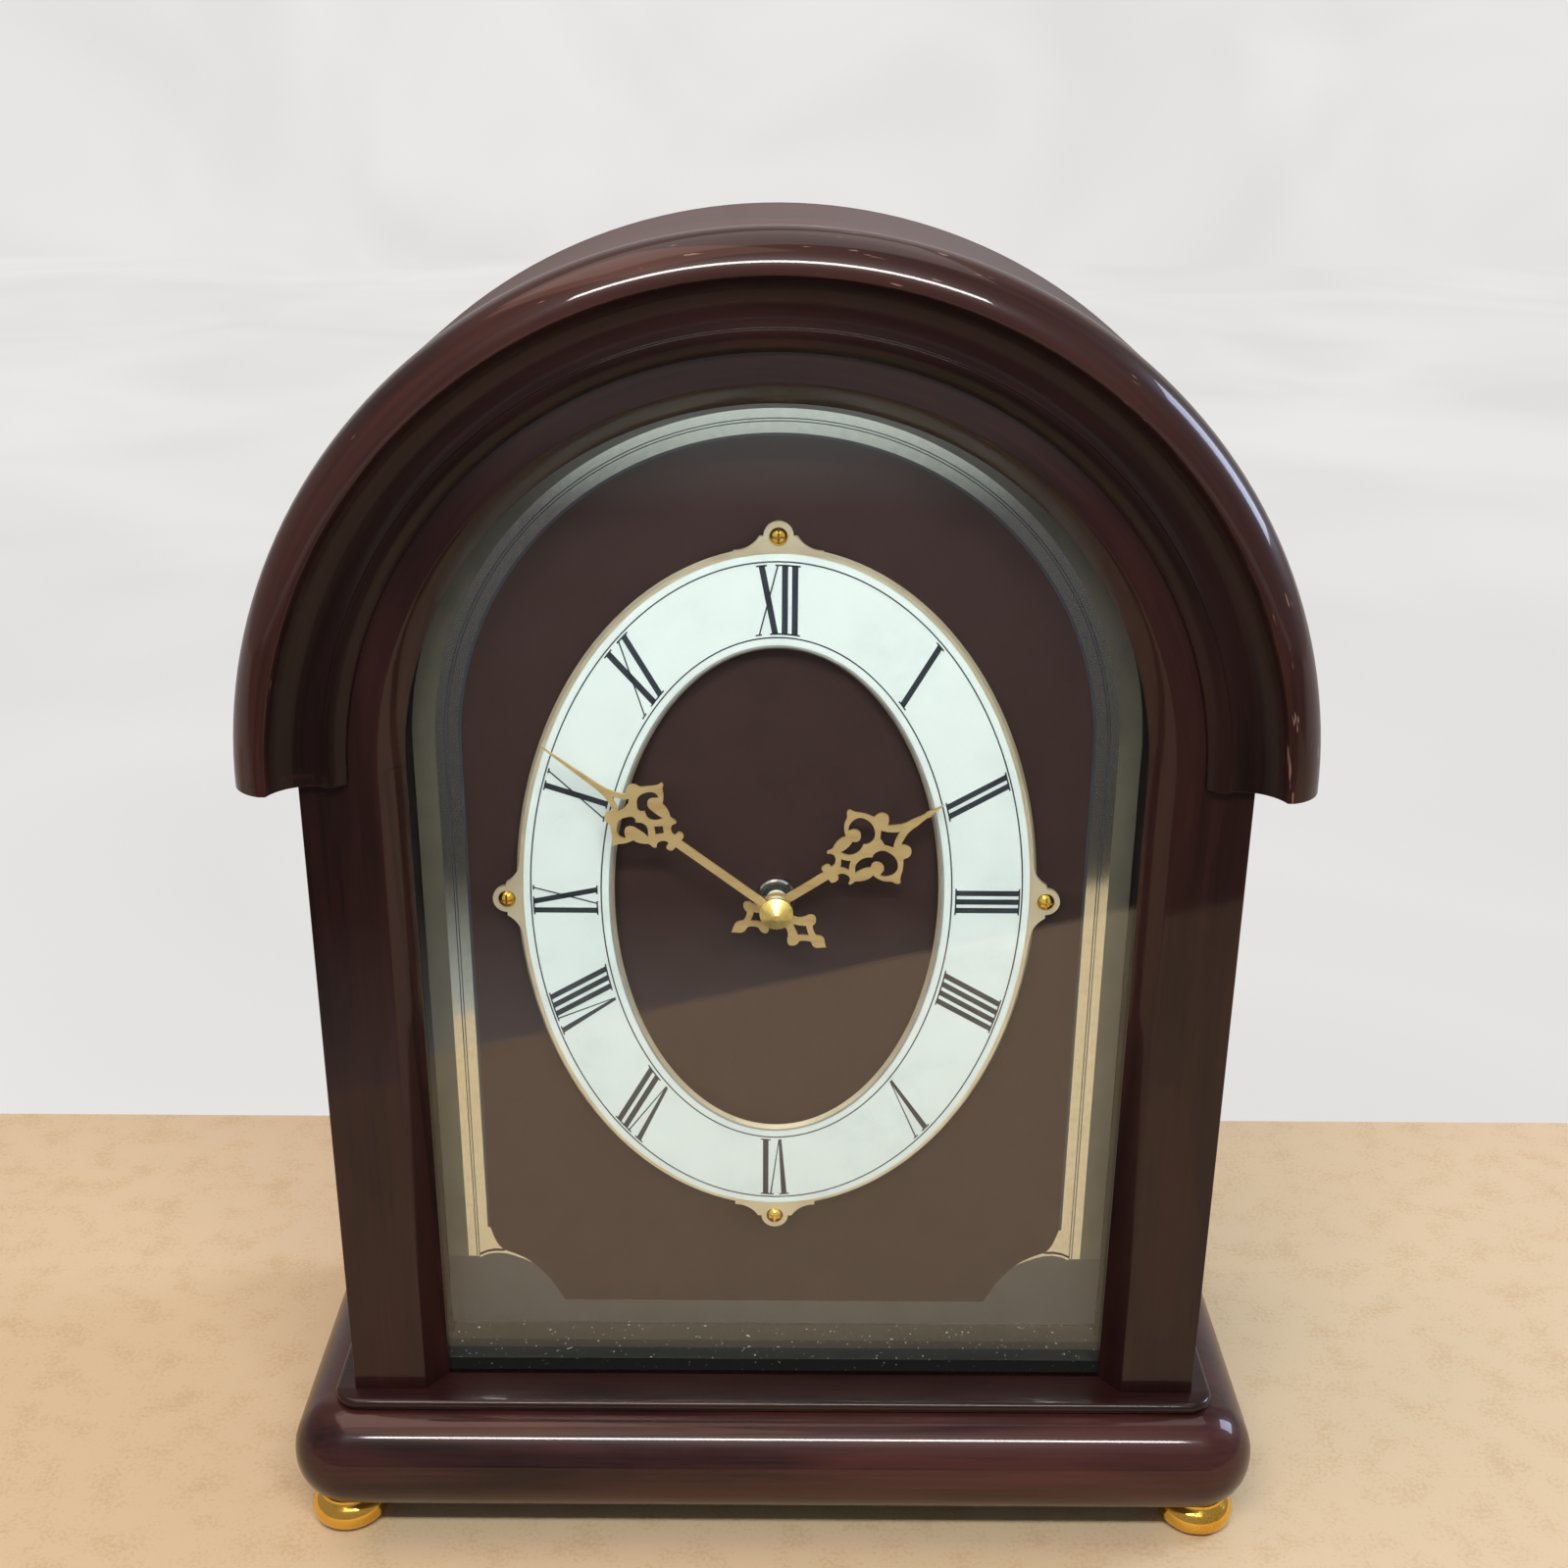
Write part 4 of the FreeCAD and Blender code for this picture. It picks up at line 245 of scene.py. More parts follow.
def hangLamps():
    for lamp in lamps:
        data = bpy.data.lights.new(lamp["name"], "AREA")
        data.shape, data.energy = "RECTANGLE", lamp["watts"]
        data.color = linear(lamp["colour"])[:3]
        data.size, data.size_y = lamp["size"]
        made = bpy.data.objects.new(lamp["name"], data)
        place, aim = Vector(lamp["place"]) * mm, Vector(lamp["aim"]) * mm
        made.location = place
        made.rotation_euler = (aim - place).to_track_quat("-Z", "Y").to_euler()
        scene.collection.objects.link(made)


def paintWorld():       # white for the eye, dimmer in gloss, soft as light
    world = bpy.data.worlds.new("paleRoom")
    world.use_nodes = True
    scene.world = world
    tree = world.node_tree
    tree.nodes.clear()
    rays = addNode(tree, "ShaderNodeLightPath").outputs
    sight = addNode(tree, "ShaderNodeMath",
                    {0: rays["Is Camera Ray"], 1: rays["Is Transmission Ray"]}, operation="MAXIMUM")
    soft = addNode(tree, "ShaderNodeBackground", {"Color": "#eceae6", "Strength": 0.38})
    glossy = addNode(tree, "ShaderNodeBackground", {"Color": "#d8cecc", "Strength": 0.5})
    white = addNode(tree, "ShaderNodeBackground", {"Color": "#e6e4e1", "Strength": 1.0})
    inner = addNode(tree, "ShaderNodeMixShader", {0: rays["Is Glossy Ray"], 1: soft, 2: glossy})
    outer = addNode(tree, "ShaderNodeMixShader", {0: sight, 1: inner, 2: white})
    addNode(tree, "ShaderNodeOutputWorld", {"Surface": outer})


scene.view_settings.view_transform = "Standard"
aimCamera()
makeRoom()
hangLamps()
paintWorld()
print("camera, floor and lamps set")

# finishes, each named for what the real one is; those carrying painted light and shade say so
# the case's wood: near black in the shade, red-brown where light falls, a clear gloss over it
wood = lacqueredWood("walnutLacquerGrain")
# the hood's nose and sides: painted lighter and redder than the case's wood, a painted glow of the
# light on the nose, with a few pale rubs on the edges
hoodWood = lacqueredWood("walnutLacquerRubbedPaintedLit", "#160b0a", "#3a1e1a", 0.6)
# the plinth: painted lighter and the most red, a painted light on its round edge that faces the
# light
plinthWood = lacqueredWood("walnutLacquerPlinthPaintedLit", "#1c0d0d", "#472522")
# the level tops: no gloss left, greyed by dust and by a painted sheen
dustAndSheenWood = lacqueredWood("walnutLacquerDustAndSheen", "#1c1110", "#3a2624", 0.15, 0.4, 0.0, 0.26)
# the mouldings' hollows: darker, a painted shade, with a weak shine
shadeWood = lacqueredWood("walnutLacquerShade", "#0f0807", "#251312", 0.0, 0.0, 0.16)
# plated and buffed: a warm mirror
gold = finish("polishedGoldPlate", "#e0a93c", "#f0c45c", 0.5, (0.10, 0.16), Metallic=1.0)
# stamped sheet, brushed and gilded: a soft sheen across the brushing
gilt = finish("brushedGilt", "#c09e6b", "#d3b584", 0.12, (0.36, 0.46), 0.01, (1, 1, 6),
              Metallic=0.7)
# gilded turned nut: one broad soft highlight
capGold = finish("capNutGold", "#e3bd5c", "#f4d684", 0.3, (0.26, 0.34), Metallic=0.85)
# chrome on turned steel: a cold mirror
chrome = finish("chromePlate", "#b9bcbd", "#d2d5d6", 0.3, (0.08, 0.14), Metallic=1.0)
# satin plate on a stamping: pale and warm, with no clear reflection
champagne = finish("satinChampagne", "#c3b39a", "#d3c6b0", 0.2, (0.3, 0.4), Metallic=0.6)
# rolled sheet: dull gold with faint lines
brass = finish("rolledBrass", "#b08d4a", "#c9a866", 0.3, (0.24, 0.36), 0.01, (1, 6, 1),
               Metallic=1.0)
# bright zinc on pressed steel: grey, with a cloudy shine
zinc = finish("zincPlatedSteel", "#a7a9a8", "#c2c5c6", 0.3, (0.25, 0.36), Metallic=1.0)
# drawn strip: smooth, faintly yellow grey
nickel = finish("nickelSpring", "#b6b1a7", "#cfcabf", 0.3, (0.16, 0.24), Metallic=1.0)
# screen-printed enamel: matt white, a little blue
enamel = finish("whiteEnamelPrint", "#c1cacf", "#cad2d7", 0.25, (0.42, 0.5))
# screen-printed ink: matt blue-black
ink = finish("numeralInk", "#141a24", "#1e2632", 0.2, (0.4, 0.5))
# the same in fine lines: a little lighter
navy = finish("navyInkLine", "#1b202c", "#262c38", 0.2, (0.4, 0.5))
# screen-printed brown: even, nearly matt
fieldBrown = finish("brownDialPrint", "#2c1d1b", "#302120", 0.35, (0.46, 0.48),
                    **{"Specular IOR Level": 0.1})
# a grey band painted at the ring's inner edge: a painted shade of its inner chamfer, satin grey
innerEdgeShadeGrey = finish("paintedInnerEdgeShade", "#7f8187", "#94969b", 0.2, (0.3, 0.4), Metallic=0.4)
# a band painted beside the frame: warm dark grey, a painted shade and reflection of the frame's
# inner wall, with a weak shine
frameShadeGrey = finish("paintedFrameShadeBand", "#545047", "#605b51", 0.3, (0.34, 0.44), Metallic=0.3)
# a dark grey band painted under the field: a painted reflection of the clock's own base, nearly
# matt
baseReflectionGrey = finish("paintedBaseReflectionBand", "#413c3c", "#494444", 0.3, (0.40, 0.42),
                  **{"Specular IOR Level": 0.3})
# pressed wood fibre: matt brown, faintly mottled
hardboard = finish("hardboard", "#744f36", "#84603f", 0.6, (0.6, 0.75), 0.03)
# planed softwood: pale, in long streaks
pine = finish("pineBatten", "#b98d58", "#d3ab74", 0.8, (0.55, 0.65), 0.02, (0.12, 1, 1))
# moulded in a spark-eroded tool: black, half matt, finely grained
blackPlastic = finish("blackMouldedPlastic", "#141415", "#1f1f21", 0.25, (0.38, 0.5), 0.02)
# moulded in a smooth tool: off-white, half matt
whitePlastic = finish("whiteMouldedPlastic", "#d9d7cf", "#e6e4dc", 0.3, (0.35, 0.45), 0.01)
# moulded acetal: milky, a little waxy
gearPlastic = finish("acetalGear", "#dfdccd", "#ece9dc", 0.2, (0.3, 0.4))
# cut from sheet: matt black
rubber = finish("blackRubberSheet", "#161616", "#222222", 0.3, (0.7, 0.8), 0.02)
# extruded strip: soft brownish black
strip = finish("blackGlazingStrip", "#15110f", "#211a17", 0.3, (0.4, 0.5))
# solder mask on glass fibre: green, half gloss
board = finish("greenCircuitBoard", "#1f5a35", "#2c6f44", 0.4, (0.3, 0.4))
# wound enamelled wire: reddish, in fine rings
copper = finish("enamelledCopperWire", "#a2542c", "#c06c3c", 0.2, (0.2, 0.3), 0.02, (8, 8, 1),
                Metallic=1.0)
# sintered ferrite: matt dark grey, granular
ferrite = finish("ferriteMagnet", "#2b2b2d", "#3a3a3c", 0.25, (0.5, 0.6), 0.02)
# shrunk plastic sleeve: smooth dark blue
battery = finish("batterySleeve", "#2d3f7a", "#374a8a", 0.5, (0.25, 0.32))
# pressed pulp: matt brownish black, fibrous
paper = finish("pressedPaperCone", "#1f1d1b", "#2d2a27", 0.3, (0.8, 0.9), 0.04)
# extruded sleeve: dark grey, half matt
leadCover = finish("leadSleeve", "#2a2a2a", "#3a3a3a", 0.3, (0.4, 0.5))


def mirrorMetal():      # vacuum-coated plate under clear varnish: nearly a mirror
    material, tree = newMaterial("mirrorPlate")
    coords = addNode(tree, "ShaderNodeTexCoord").outputs["Object"]
    haze = addNode(tree, "ShaderNodeTexNoise", {"Vector": coords, "Scale": 500.0, "Detail": 3.0})
    dull = addNode(tree, "ShaderNodeMapRange", {"Value": haze, "To Min": 0.06, "To Max": 0.09})
    tone = addNode(tree, "ShaderNodeValToRGB", {"Fac": haze},
                   stops=[(0.3, "#dcdcd4"), (0.7, "#e6e6de")])
    surface = addNode(tree, "ShaderNodeBsdfPrincipled", {"Base Color": tone, "Metallic": 1.0,
                                                         "Roughness": dull})
    addNode(tree, "ShaderNodeOutputMaterial", {"Surface": surface})
    return material


def clearGlass():       # float glass: clear, faintly green, with a thin film of dust
    material, tree = newMaterial("floatGlass")
    coords = addNode(tree, "ShaderNodeTexCoord").outputs["Object"]
    dust = addNode(tree, "ShaderNodeTexNoise", {"Vector": coords, "Scale": 300.0, "Detail": 4.0})
    film = addNode(tree, "ShaderNodeMapRange", {"Value": dust, "From Min": 0.4, "To Min": 0.0,
                                                "To Max": 0.006})
    glazed = addNode(tree, "ShaderNodeBsdfPrincipled", {
        "Base Color": "#f6faf8", "Roughness": film, "IOR": 1.5, "Transmission Weight": 1.0})
    clear = addNode(tree, "ShaderNodeBsdfTransparent", {"Color": "#eef4f1"})
    shadow = addNode(tree, "ShaderNodeLightPath").outputs["Is Shadow Ray"]      # light passes it
    surface = addNode(tree, "ShaderNodeMixShader", {0: shadow, 1: glazed, 2: clear})
    addNode(tree, "ShaderNodeOutputMaterial", {"Surface": surface})
    return material


def sillDustAndPaintedLight():        # black strip before the dial's foot, with pale dust specks; a ramp paints its front face paler, a painted light on a face in shade, and its top near black towards the front, a painted shade
    material, tree = newMaterial("sillStripDustAndPaintedLight")
    coords = addNode(tree, "ShaderNodeTexCoord").outputs["Object"]
    depth = addNode(tree, "ShaderNodeSeparateXYZ", {"Vector": coords}).outputs["Y"]
    depth = addNode(tree, "ShaderNodeMapRange", {"Value": depth, "From Min": -0.0392,
                                                 "From Max": -0.0242})
    # front face painted paler, top painted darker: painted light and shade
    tone = addNode(tree, "ShaderNodeValToRGB", {"Fac": depth},
                   stops=[(0.02, "#1e1f23"), (1.0, "#15120f"), (0.06, "#0b0b0c")])
    grains = addNode(tree, "ShaderNodeTexNoise", {"Vector": coords, "Scale": 900.0, "Detail": 2.0})
    flecks = addNode(tree, "ShaderNodeValToRGB", {"Fac": grains}, stops=[(0.68, 0.0), (0.74, 0.8)])
    colour = addNode(tree, "ShaderNodeMix", {"Factor": flecks, "A": tone, "B": "#c9c8c6"},
                     data_type="RGBA").outputs["Result"]
    surface = addNode(tree, "ShaderNodeBsdfPrincipled", {"Base Color": colour, "Roughness": 0.7})
    addNode(tree, "ShaderNodeOutputMaterial", {"Surface": surface})
    return material


mirror, glass, sillStrip = mirrorMetal(), clearGlass(), sillDustAndPaintedLight()
print("finishes made")


# pieces; all their numbers are in mm
def addPiece(name, bm, body, material, replaced=(), eased=0.0, smooth=35.0):
    bmesh.ops.remove_doubles(bm, verts=bm.verts, dist=1e-7)
    bmesh.ops.recalc_face_normals(bm, faces=bm.faces)
    mesh = bpy.data.meshes.new(name)
    bm.to_mesh(mesh)
    bm.free()
    mesh.shade_smooth()
    mesh.set_sharp_from_angle(angle=math.radians(smooth))
    mesh.materials.append(material)
    piece = bpy.data.objects.new(name, mesh)
    scene.collection.objects.link(piece)
    if eased:
        bevel = piece.modifiers.new("easedEdges", "BEVEL")
        bevel.width, bevel.segments, bevel.limit_method = eased * mm, 3, "ANGLE"
        bevel.angle_limit, bevel.harden_normals = math.radians(smooth), True
    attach(piece, body)
    if replaced:
        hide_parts(*replaced)
    return piece


def markGrain(bm, kind):        # the grain runs across a slab, and along an arch and its legs
    layer = bm.verts.layers.float_vector.new("grain")
    turn = arch["grainR"] * mm * math.pi
    for v in bm.verts:
        x, y, z = v.co
        over = z - arch["z"] * mm
        if kind == "across":
            v[layer] = (y, z, x)
        elif over >= -1e-6:
            v[layer] = (math.hypot(x, over), y, turn * math.atan2(over, x) / math.pi)
        else:
            v[layer] = (abs(x), y, over if x > 0 else turn - over)


def curvePoints(start, end, radius, side, count):       # points of a section's curved run
    start, end = Vector(start), Vector(end)
    chord = end - start
    lift = math.sqrt(max(radius ** 2 - (chord.length / 2) ** 2, 0.0))
    middle = (start + end) / 2 + Vector((-chord.y, chord.x)).normalized() * lift * side
    a, b = start - middle, end - middle
    turn = math.atan2(a.x * b.y - a.y * b.x, a.dot(b))
    return [tuple(middle + Matrix.Rotation(turn * at / count, 2) @ a) for at in range(1, count)]


def sectionPoints(section):     # a corner with a radius, a side and a count is reached by a curve
    points = []
    for r, y, *curve in section:
        if curve:
            points += curvePoints(points[-1], (r, y), *curve)
        points.append((r, y))
    return points


def closedLoop(bm, points):
    corners = [bm.verts.new([value * mm for value in point]) for point in points]
    return corners, [bm.edges.new(pair) for pair in zip(corners, corners[1:] + corners[:1])]


def archPiece(section, foot=None):
    bm = bmesh.new()
    corners, loop = closedLoop(bm, [(r, y, arch["z"]) for r, y in sectionPoints(section)])
    bmesh.ops.spin(bm, geom=corners + loop, cent=(0, 0, arch["z"] * mm), axis=(0, -1, 0),
                   angle=math.pi, steps=arch["steps"], use_duplicate=False)
    if foot is not None:
        ends = [e for e in bm.edges if e.is_boundary]
        grown = bmesh.ops.extrude_edge_only(bm, edges=ends)["geom"]
        bmesh.ops.translate(bm, vec=(0, 0, (foot - arch["z"]) * mm), verts=newVerts(grown))
    bmesh.ops.holes_fill(bm, edges=[e for e in bm.edges if e.is_boundary], sides=0)
    markGrain(bm, "along")
    return bm


hood = {"moulding": [(125.0, -46.3), (117.6, -57.5, 10.4, -1, 14), (116.0, -57.5),      # nose
                     (104.4, -50.6, 10.0, 1, 12), (104.4, -51.5),                       # cove
                     (99.2, -48.9, 6.2, -1, 8), (99.2, -48.0),                          # quarter
                     (111.0, -48.0), (111.0, 10.0), (123.2, 10.0), (125.0, 8.2, 1.8, 1, 4)],
        "rearBand": [(111.0, 10.0), (121.0, 10.0), (121.0, 57.0), (118.0, 60.0, 3.0, 1, 6),
                     (111.0, 60.0)],
        "dustAndSheenR": 124.6, "dustAndSheenY": -44.5, "shadeR": 115.5}


def makeHood():
    piece = addPiece("hoodMoulding", archPiece(hood["moulding"]), "case", hoodWood,
                     ["hood_moulding"], 0.25)
    piece.data.materials.append(dustAndSheenWood)
    piece.data.materials.append(shadeWood)
    for face in piece.data.polygons:
        x, y, z = face.center / mm
        out = math.hypot(x, z - arch["z"])
        if out > hood["dustAndSheenR"] and y > hood["dustAndSheenY"]:     # the top behind the nose is dull, greyed by dust and a painted sheen
            face.material_index = 1
        elif out < hood["shadeR"]:                          # the hollows take a painted shade and shine less
            face.material_index = 2
    addPiece("hoodRearBand", archPiece(hood["rearBand"]), "case", dustAndSheenWood,
             ["hood_rear_band"], 0.2)


case = {"frame": [(111, -48), (92.3, -48), (91.4, -47.1), (87.9, -42.8), (87, -41.6),
                  (91.2, -41.6), (91.2, -24), (111, -24)],
        "shell": [(101, -24), (111, -24), (111, 60), (106, 60), (106, 52), (101, 52)],
        "bead": [(87.9, -38.8), (91.2, -38.8), (91.2, -35.8), (87.9, -35.8)]}


def makeCase():
    addPiece("frontFrame", archPiece(case["frame"], arch["floorZ"]), "case", wood,
             ["front_frame"], 0.2)
    addPiece("caseShell", archPiece(case["shell"], arch["floorZ"]), "case", wood,
             ["case_shell"], 0.2)
    addPiece("glazingBead", archPiece(case["bead"], arch["floorZ"]), "case", strip,
             ["glass_bead"], 0.3)


base = {"half": 128.0, "front": -64.0, "back": 64.0, "foot": 9.0, "head": 38.0, "corner": 16.0,
        "rounding": 14.2, "segments": 14}
tier = {"half": 116.5, "front": -53.5, "back": 60.0, "foot": 38.0, "head": 41.0, "corner": 7.0,
        "rounding": 1.3, "segments": 4}


def slab(name, size, material, replaced):       # front corners and every rim but the rear's rounded
    low = Vector((-size["half"], size["front"], size["foot"])) * mm
    high = Vector((size["half"], size["back"], size["head"])) * mm
    bm = bmesh.new()
    bmesh.ops.create_cube(bm, size=1.0)
    bmesh.ops.scale(bm, vec=high - low, verts=bm.verts)
    bmesh.ops.translate(bm, vec=(low + high) / 2, verts=bm.verts)

    def climb(edge):
        return abs(edge.verts[0].co.z - edge.verts[1].co.z)
    upright = [e for e in bm.edges if climb(e) > 1e-4 and e.verts[0].co.y < 0]
    bmesh.ops.bevel(bm, geom=upright, offset=size["corner"] * mm, segments=14, profile=0.5,
                    material=-1, affect="EDGES")
    rims = [e for e in bm.edges if climb(e) < 1e-6 and len(e.link_faces) == 2
            and min(v.co.y for v in e.verts) < high.y - 1e-5 and abs(e.calc_face_angle(0.0)) > 0.5]
    bmesh.ops.bevel(bm, geom=rims, offset=size["rounding"] * mm, segments=size["segments"],
                    profile=0.5, material=-1, affect="EDGES")
    markGrain(bm, "across")
    addPiece(name, bm, "case", material, replaced, 0.0, 40.0)


makeHood()
makeCase()
slab("basePlinth", base, plinthWood, ["base_plinth"])
slab("baseTopPlate", tier, wood, ["base_top_plate"])
print("hood, case and base made")

# prints on the dial plate, with bands of painted shade beside the frame and of painted reflection
# under the field; stripes are pairs of radii, outlines are x and z on the right side
dial = {"front": -24.0, "proud": 0.03, "fieldR": 76.7, "edge": (76.71, 77.4), "edgeFoot": 76.0,
        "pair": [(79.95, 80.2), (80.6, 80.85)], "outerBand": (83.0, 88.5), "stripeFoot": 66.8,
        "flare": [(57.3, 52.6), (58.9, 55.6), (60.5, 58.4), (62.0, 60.6), (63.6, 62.6),
                  (65.5, 64.5), (67.6, 66.1), (70.2, 67.5), (73.0, 68.6), (74.3, 69.7),
                  (75.2, 71.2), (76.0, 73.4), (76.7, 76.0)],
        "footLine": [(79.9, 66.6), (78.0, 67.6), (75.7, 68.05), (73.2, 67.95), (70.5, 67.1),
                     (68.3, 66.2)],
        "arcCount": 4, "arcRise": (0.35, 1.05),     # the brown arc over the foot's first points
        "footSide": [(88.5, 45.4), (88.5, 66.7), (80.0, 66.7)], "footDrop": 0.3, "flareCount": 6}


def raisePrint(bm, faces, proud):
    grown = bmesh.ops.extrude_face_region(bm, geom=faces, use_keep_orig=True)["geom"]
    bmesh.ops.translate(bm, vec=(0, -proud * mm, 0), verts=newVerts(grown))


def flatPrint(name, outlines, front, proud, material):     # closed outlines, x and z
    bm = bmesh.new()
    for points in outlines:
        face = bm.faces.new([bm.verts.new((x * mm, front * mm, z * mm)) for x, z in points])
        raisePrint(bm, [face], proud)
    return addPiece(name, bm, "case", material)


def arcPoints(radius):
    turns = [math.pi * at / arch["printSteps"] for at in range(arch["printSteps"] + 1)]
    return [(radius * math.cos(turn), arch["z"] + radius * math.sin(turn)) for turn in turns]


def archBand(inner, outer, foot):          # the outline of an arched stripe
    outline = []
    for arc in (arcPoints(outer), arcPoints(inner)[::-1]):
        outline += [(arc[0][0], foot)] + arc + [(arc[-1][0], foot)]
    return outline


def mirrored(points):
    return [(-x, z) for x, z in points[::-1]]


def makeDialPrints():
    def lay(name, outlines, material):
        flatPrint(name, outlines, dial["front"], dial["proud"], material)
    flare, line = dial["flare"], dial["footLine"]
    lay("dialField", [flare + arcPoints(dial["fieldR"]) + mirrored(flare)], fieldBrown)
    lay("dialFieldEdge", [archBand(*dial["edge"], dial["edgeFoot"])], navy)
    lay("dialLines", [archBand(*pair, dial["stripeFoot"]) for pair in dial["pair"]], navy)
    # painted shade and reflection of the frame's inner wall
    lay("dialOuterBandPaintedShade", [archBand(*dial["outerBand"], dial["stripeFoot"])], frameShadeGrey)
    low, high = dial["arcRise"]         # bare plate shows bright between this arc and the foot
    near = line[:dial["arcCount"]]
    arc = [(x, z + low) for x, z in near] + [(x, z + high) for x, z in near[::-1]]
    lay("dialFootArcs", [arc, [(-x, z) for x, z in arc]], fieldBrown)
    side = dial["footSide"] + [(x, z - dial["footDrop"]) for x, z in line]
    side += flare[:dial["flareCount"]][::-1]
    # painted reflection of the clock's own base
    lay("dialFootPaintedReflection", [side + mirrored(side)], baseReflectionGrey)


makeDialPrints()

# prints on the chapter ring, with a painted shade at its inner edge; ovals are half widths and half
# heights about the shaft
ring = {"z": 175.5, "front": -27.8, "proud": 0.03, "steps": 144, "outer": (62.8, 88.5),
        "inner": (41.7, 66.5), "edge": [(41.65, 66.45), (41.03, 65.93)], "line": 0.36,
        "inset": 1.65, "top": (60.5, 86.0), "foot": (44.4, 69.0), "hair": 0.4}
letters = {     # strokes: foot left and right, top left and right; serifs: left, right, level
    "I": {"strokes": [(0, 1.45, 0, 1.45)], "serifs": [(-0.55, 2.0, 0), (-0.55, 2.0, 1)],
          "step": 2.35, "gap": 0.9},
    "V": {"strokes": [(1.55, 2.3025, 0, 1.45), (2.05, 2.3, 4.1, 4.5)],
          "serifs": [(-0.55, 2.0, 1), (3.5, 4.9, 1)], "step": 4.9, "gap": 0.6},
    "X": {"strokes": [(3.3, 4.75, 0, 1.45), (0, 0.4, 4.4, 4.8)],
          "serifs": [(-0.55, 2.0, 1), (3.9, 5.2, 1), (-0.6, 0.9, 0), (2.8, 5.2, 0)],
          "step": 5.5, "gap": 0.6}}


def ovalPoints(size):
    turns = [2 * math.pi * at / ring["steps"] for at in range(ring["steps"])]
    return [(size[0] * math.sin(turn), ring["z"] + size[1] * math.cos(turn)) for turn in turns]


def ovalBand(name, outer, inner, front, material):
    bm = bmesh.new()
    loops = []
    for size in (outer, inner):
        loops += closedLoop(bm, [(x, front, z) for x, z in ovalPoints(size)])[1]
    raisePrint(bm, bmesh.ops.bridge_loops(bm, edges=loops)["faces"], ring["proud"])
    return addPiece(name, bm, "case", material)


def spell(text):        # the strokes, serifs and width of a numeral
    strokes, serifs, at = [], [], 0.0
    for letter in text:
        shape = letters[letter]
        strokes += [[at + value for value in stroke] for stroke in shape["strokes"]]
        serifs += [(at + left, at + right, level) for left, right, level in shape["serifs"]]
        at += shape["step"]
    return strokes, serifs, at - letters[text[-1]]["gap"]


def onRing(across, share, turn, width):
    u, s, c = across - width / 2, math.sin(turn), math.cos(turn)

    def reach(size):        # how far out the oval is along the numeral's own line
        p = (s / size[0]) ** 2 + (c / size[1]) ** 2
        q = u * s * c * (1 / size[0] ** 2 - 1 / size[1] ** 2)
        k = u ** 2 * ((c / size[0]) ** 2 + (s / size[1]) ** 2) - 1
        return (-q + math.sqrt(q * q - p * k)) / p
    out = reach(ring["foot"]) * (1 - share) + reach(ring["top"]) * share
    return (out * s + u * c, ring["z"] + out * c - u * s)


def makeRingPrints():
    front = ring["front"]
    ovalBand("ringWhite", ring["outer"], ring["inner"], front, enamel)
    # painted shade of the inner chamfer
    ovalBand("ringInnerEdgePaintedShade", *ring["edge"], front, innerEdgeShadeGrey)
    inkFront = front - ring["proud"]
    for name, size, way in (("ringTrackOuter", ring["outer"], -1),
                            ("ringTrackInner", ring["inner"], 1)):
        near = [side + way * ring["inset"] for side in size]
        ovalBand(name, near, [side + way * ring["line"] for side in near], inkFront, ink)
    thick = ring["hair"] / (ring["top"][1] - ring["foot"][1])
    texts = ["XII", "I", "II", "III", "IIII", "V", "VI", "VII", "VIII", "IX", "X", "XI"]
    for hour, text in enumerate(texts):
        strokes, serifs, width = spell(text)
        shapes = [[(footLeft, 0), (footRight, 0), (topRight, 1), (topLeft, 1)]
                  for footLeft, footRight, topLeft, topRight in strokes]
        for left, right, level in serifs:
            low, high, middle = level * (1 - thick), level + (1 - level) * thick, (left + right) / 2
            shapes.append([(left, low), (middle, low), (right, low),
                           (right, high), (middle, high), (left, high)])
        turn = math.radians(30 * hour)
        outlines = [[onRing(across, share, turn, width) for across, share in shape]
                    for shape in shapes]
        flatPrint("numeral_%02d" % (hour or 12), outlines, inkFront, ring["proud"],
                  ink)


makeRingPrints()
print("dial and ring printed")

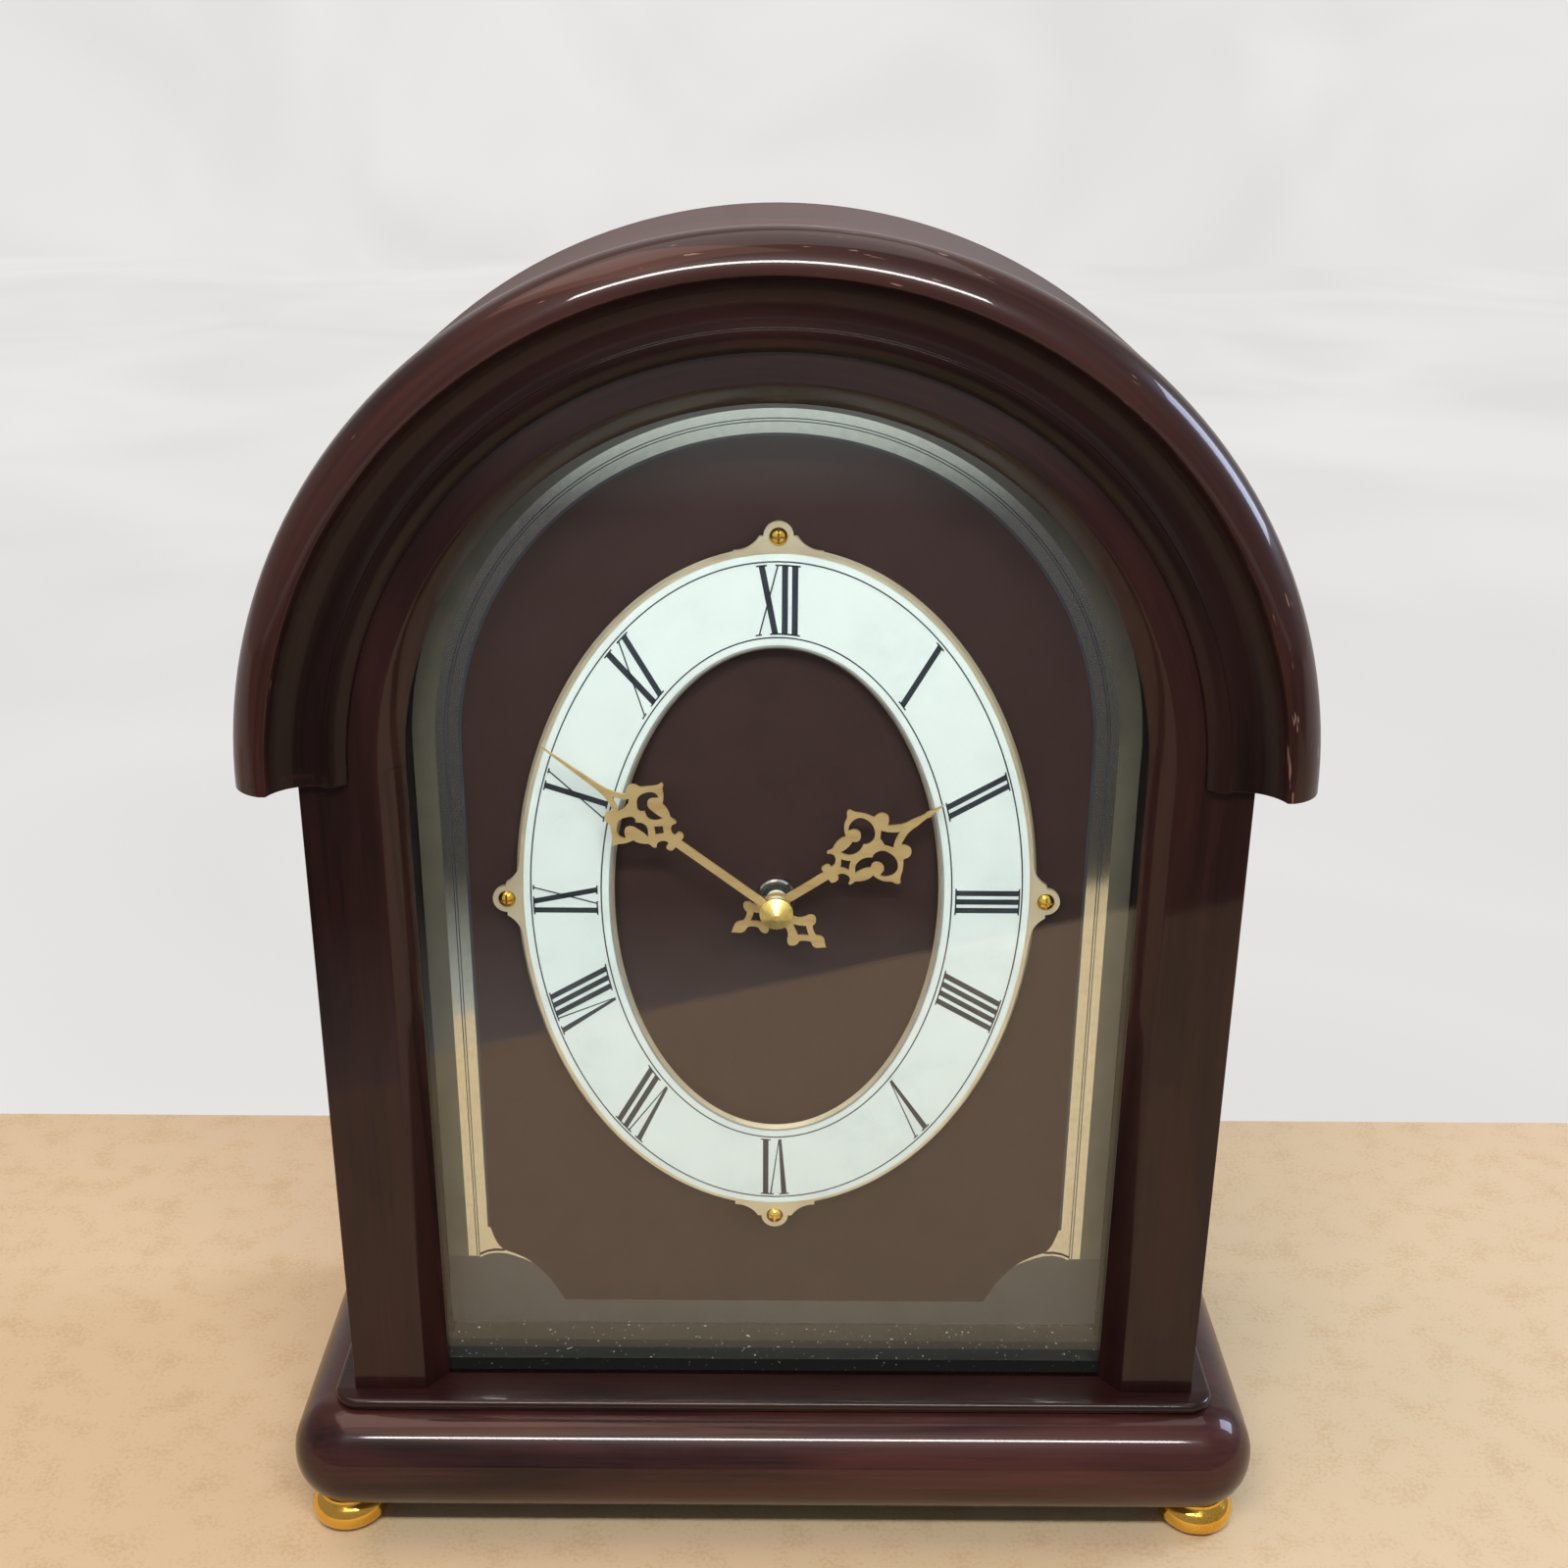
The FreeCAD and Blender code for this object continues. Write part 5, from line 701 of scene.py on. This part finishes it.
feet = {"spots": [(-115, -48, "front_left"), (115, -48, "front_right"),
                  (-115, 48, "rear_left"), (115, 48, "rear_right")],
        "section": [(2.4, 1.2), (3.6, 1.2), (4.6, 0.0), (6.6, 0.0), (8.6, 0.7), (9.9, 2.3),
                    (10.2, 4.0), (9.8, 5.8), (8.7, 7.2), (7.7, 7.9), (7.4, 8.3), (7.4, 9.0),
                    (2.4, 9.0)], "steps": 48}


def makeFeet():
    for x, y, side in feet["spots"]:
        bm = bmesh.new()
        corners, loop = closedLoop(bm, [(x + r, y, z) for r, z in feet["section"]])
        bmesh.ops.spin(bm, geom=corners + loop, cent=(x * mm, y * mm, 0), axis=(0, 0, 1),
                       angle=2 * math.pi, steps=feet["steps"], use_duplicate=False, use_merge=True)
        addPiece("foot_" + side.replace("_", "."), bm, "case", gold,
                 ["foot_" + side], 0.0, 50.0)


makeFeet()

# every CAD node that stays takes its finish here
nodeFinish = {
    "access_door": hardboard, "back_batten": pine, "back_panel": hardboard,
    "back_panel_screws": zinc, "battery_contacts": nickel, "battery_left": battery,
    "battery_right": battery, "board_parts": blackPlastic, "chapter_ring": champagne,
    "circuit_board": board, "dial_gasket": rubber, "dial_plate": mirror, "dial_plate_screws": zinc,
    "dial_sill": sillStrip, "door_catch": blackPlastic, "door_knob": brass, "door_strike": zinc,
    "fixing_nut": chrome, "foot_screws": zinc, "front_glass": glass, "hand_cap_nut": capGold,
    "hinge_leaves_door": brass, "hinge_leaves_panel": brass, "hinge_pins": brass,
    "hinge_screws_door": brass, "hinge_screws_panel": brass, "hour_hand": gilt,
    "hour_wheel": gearPlastic, "melody_switch": blackPlastic, "minute_arbor": brass,
    "minute_hand": gilt, "motion_wheel": gearPlastic, "motor_coil": copper, "motor_stator": zinc,
    "movement_case": blackPlastic, "movement_cover": blackPlastic, "movement_screws": zinc,
    "ring_posts": brass, "ring_screws": gold, "rotor": ferrite, "set_knob": whitePlastic,
    "speaker_basket": zinc, "speaker_cone": paper, "speaker_lead": leadCover,
    "speaker_magnet": ferrite, "speaker_screws": zinc, "speaker_terminals": copper,
    "third_wheel": gearPlastic, "volume_dial": whitePlastic}
for name, material in nodeFinish.items():
    mesh = nodes[name].data
    if not mesh.materials:
        mesh.materials.append(material)
    for at in range(len(mesh.materials)):
        mesh.materials[at] = material
print("nodes finished")
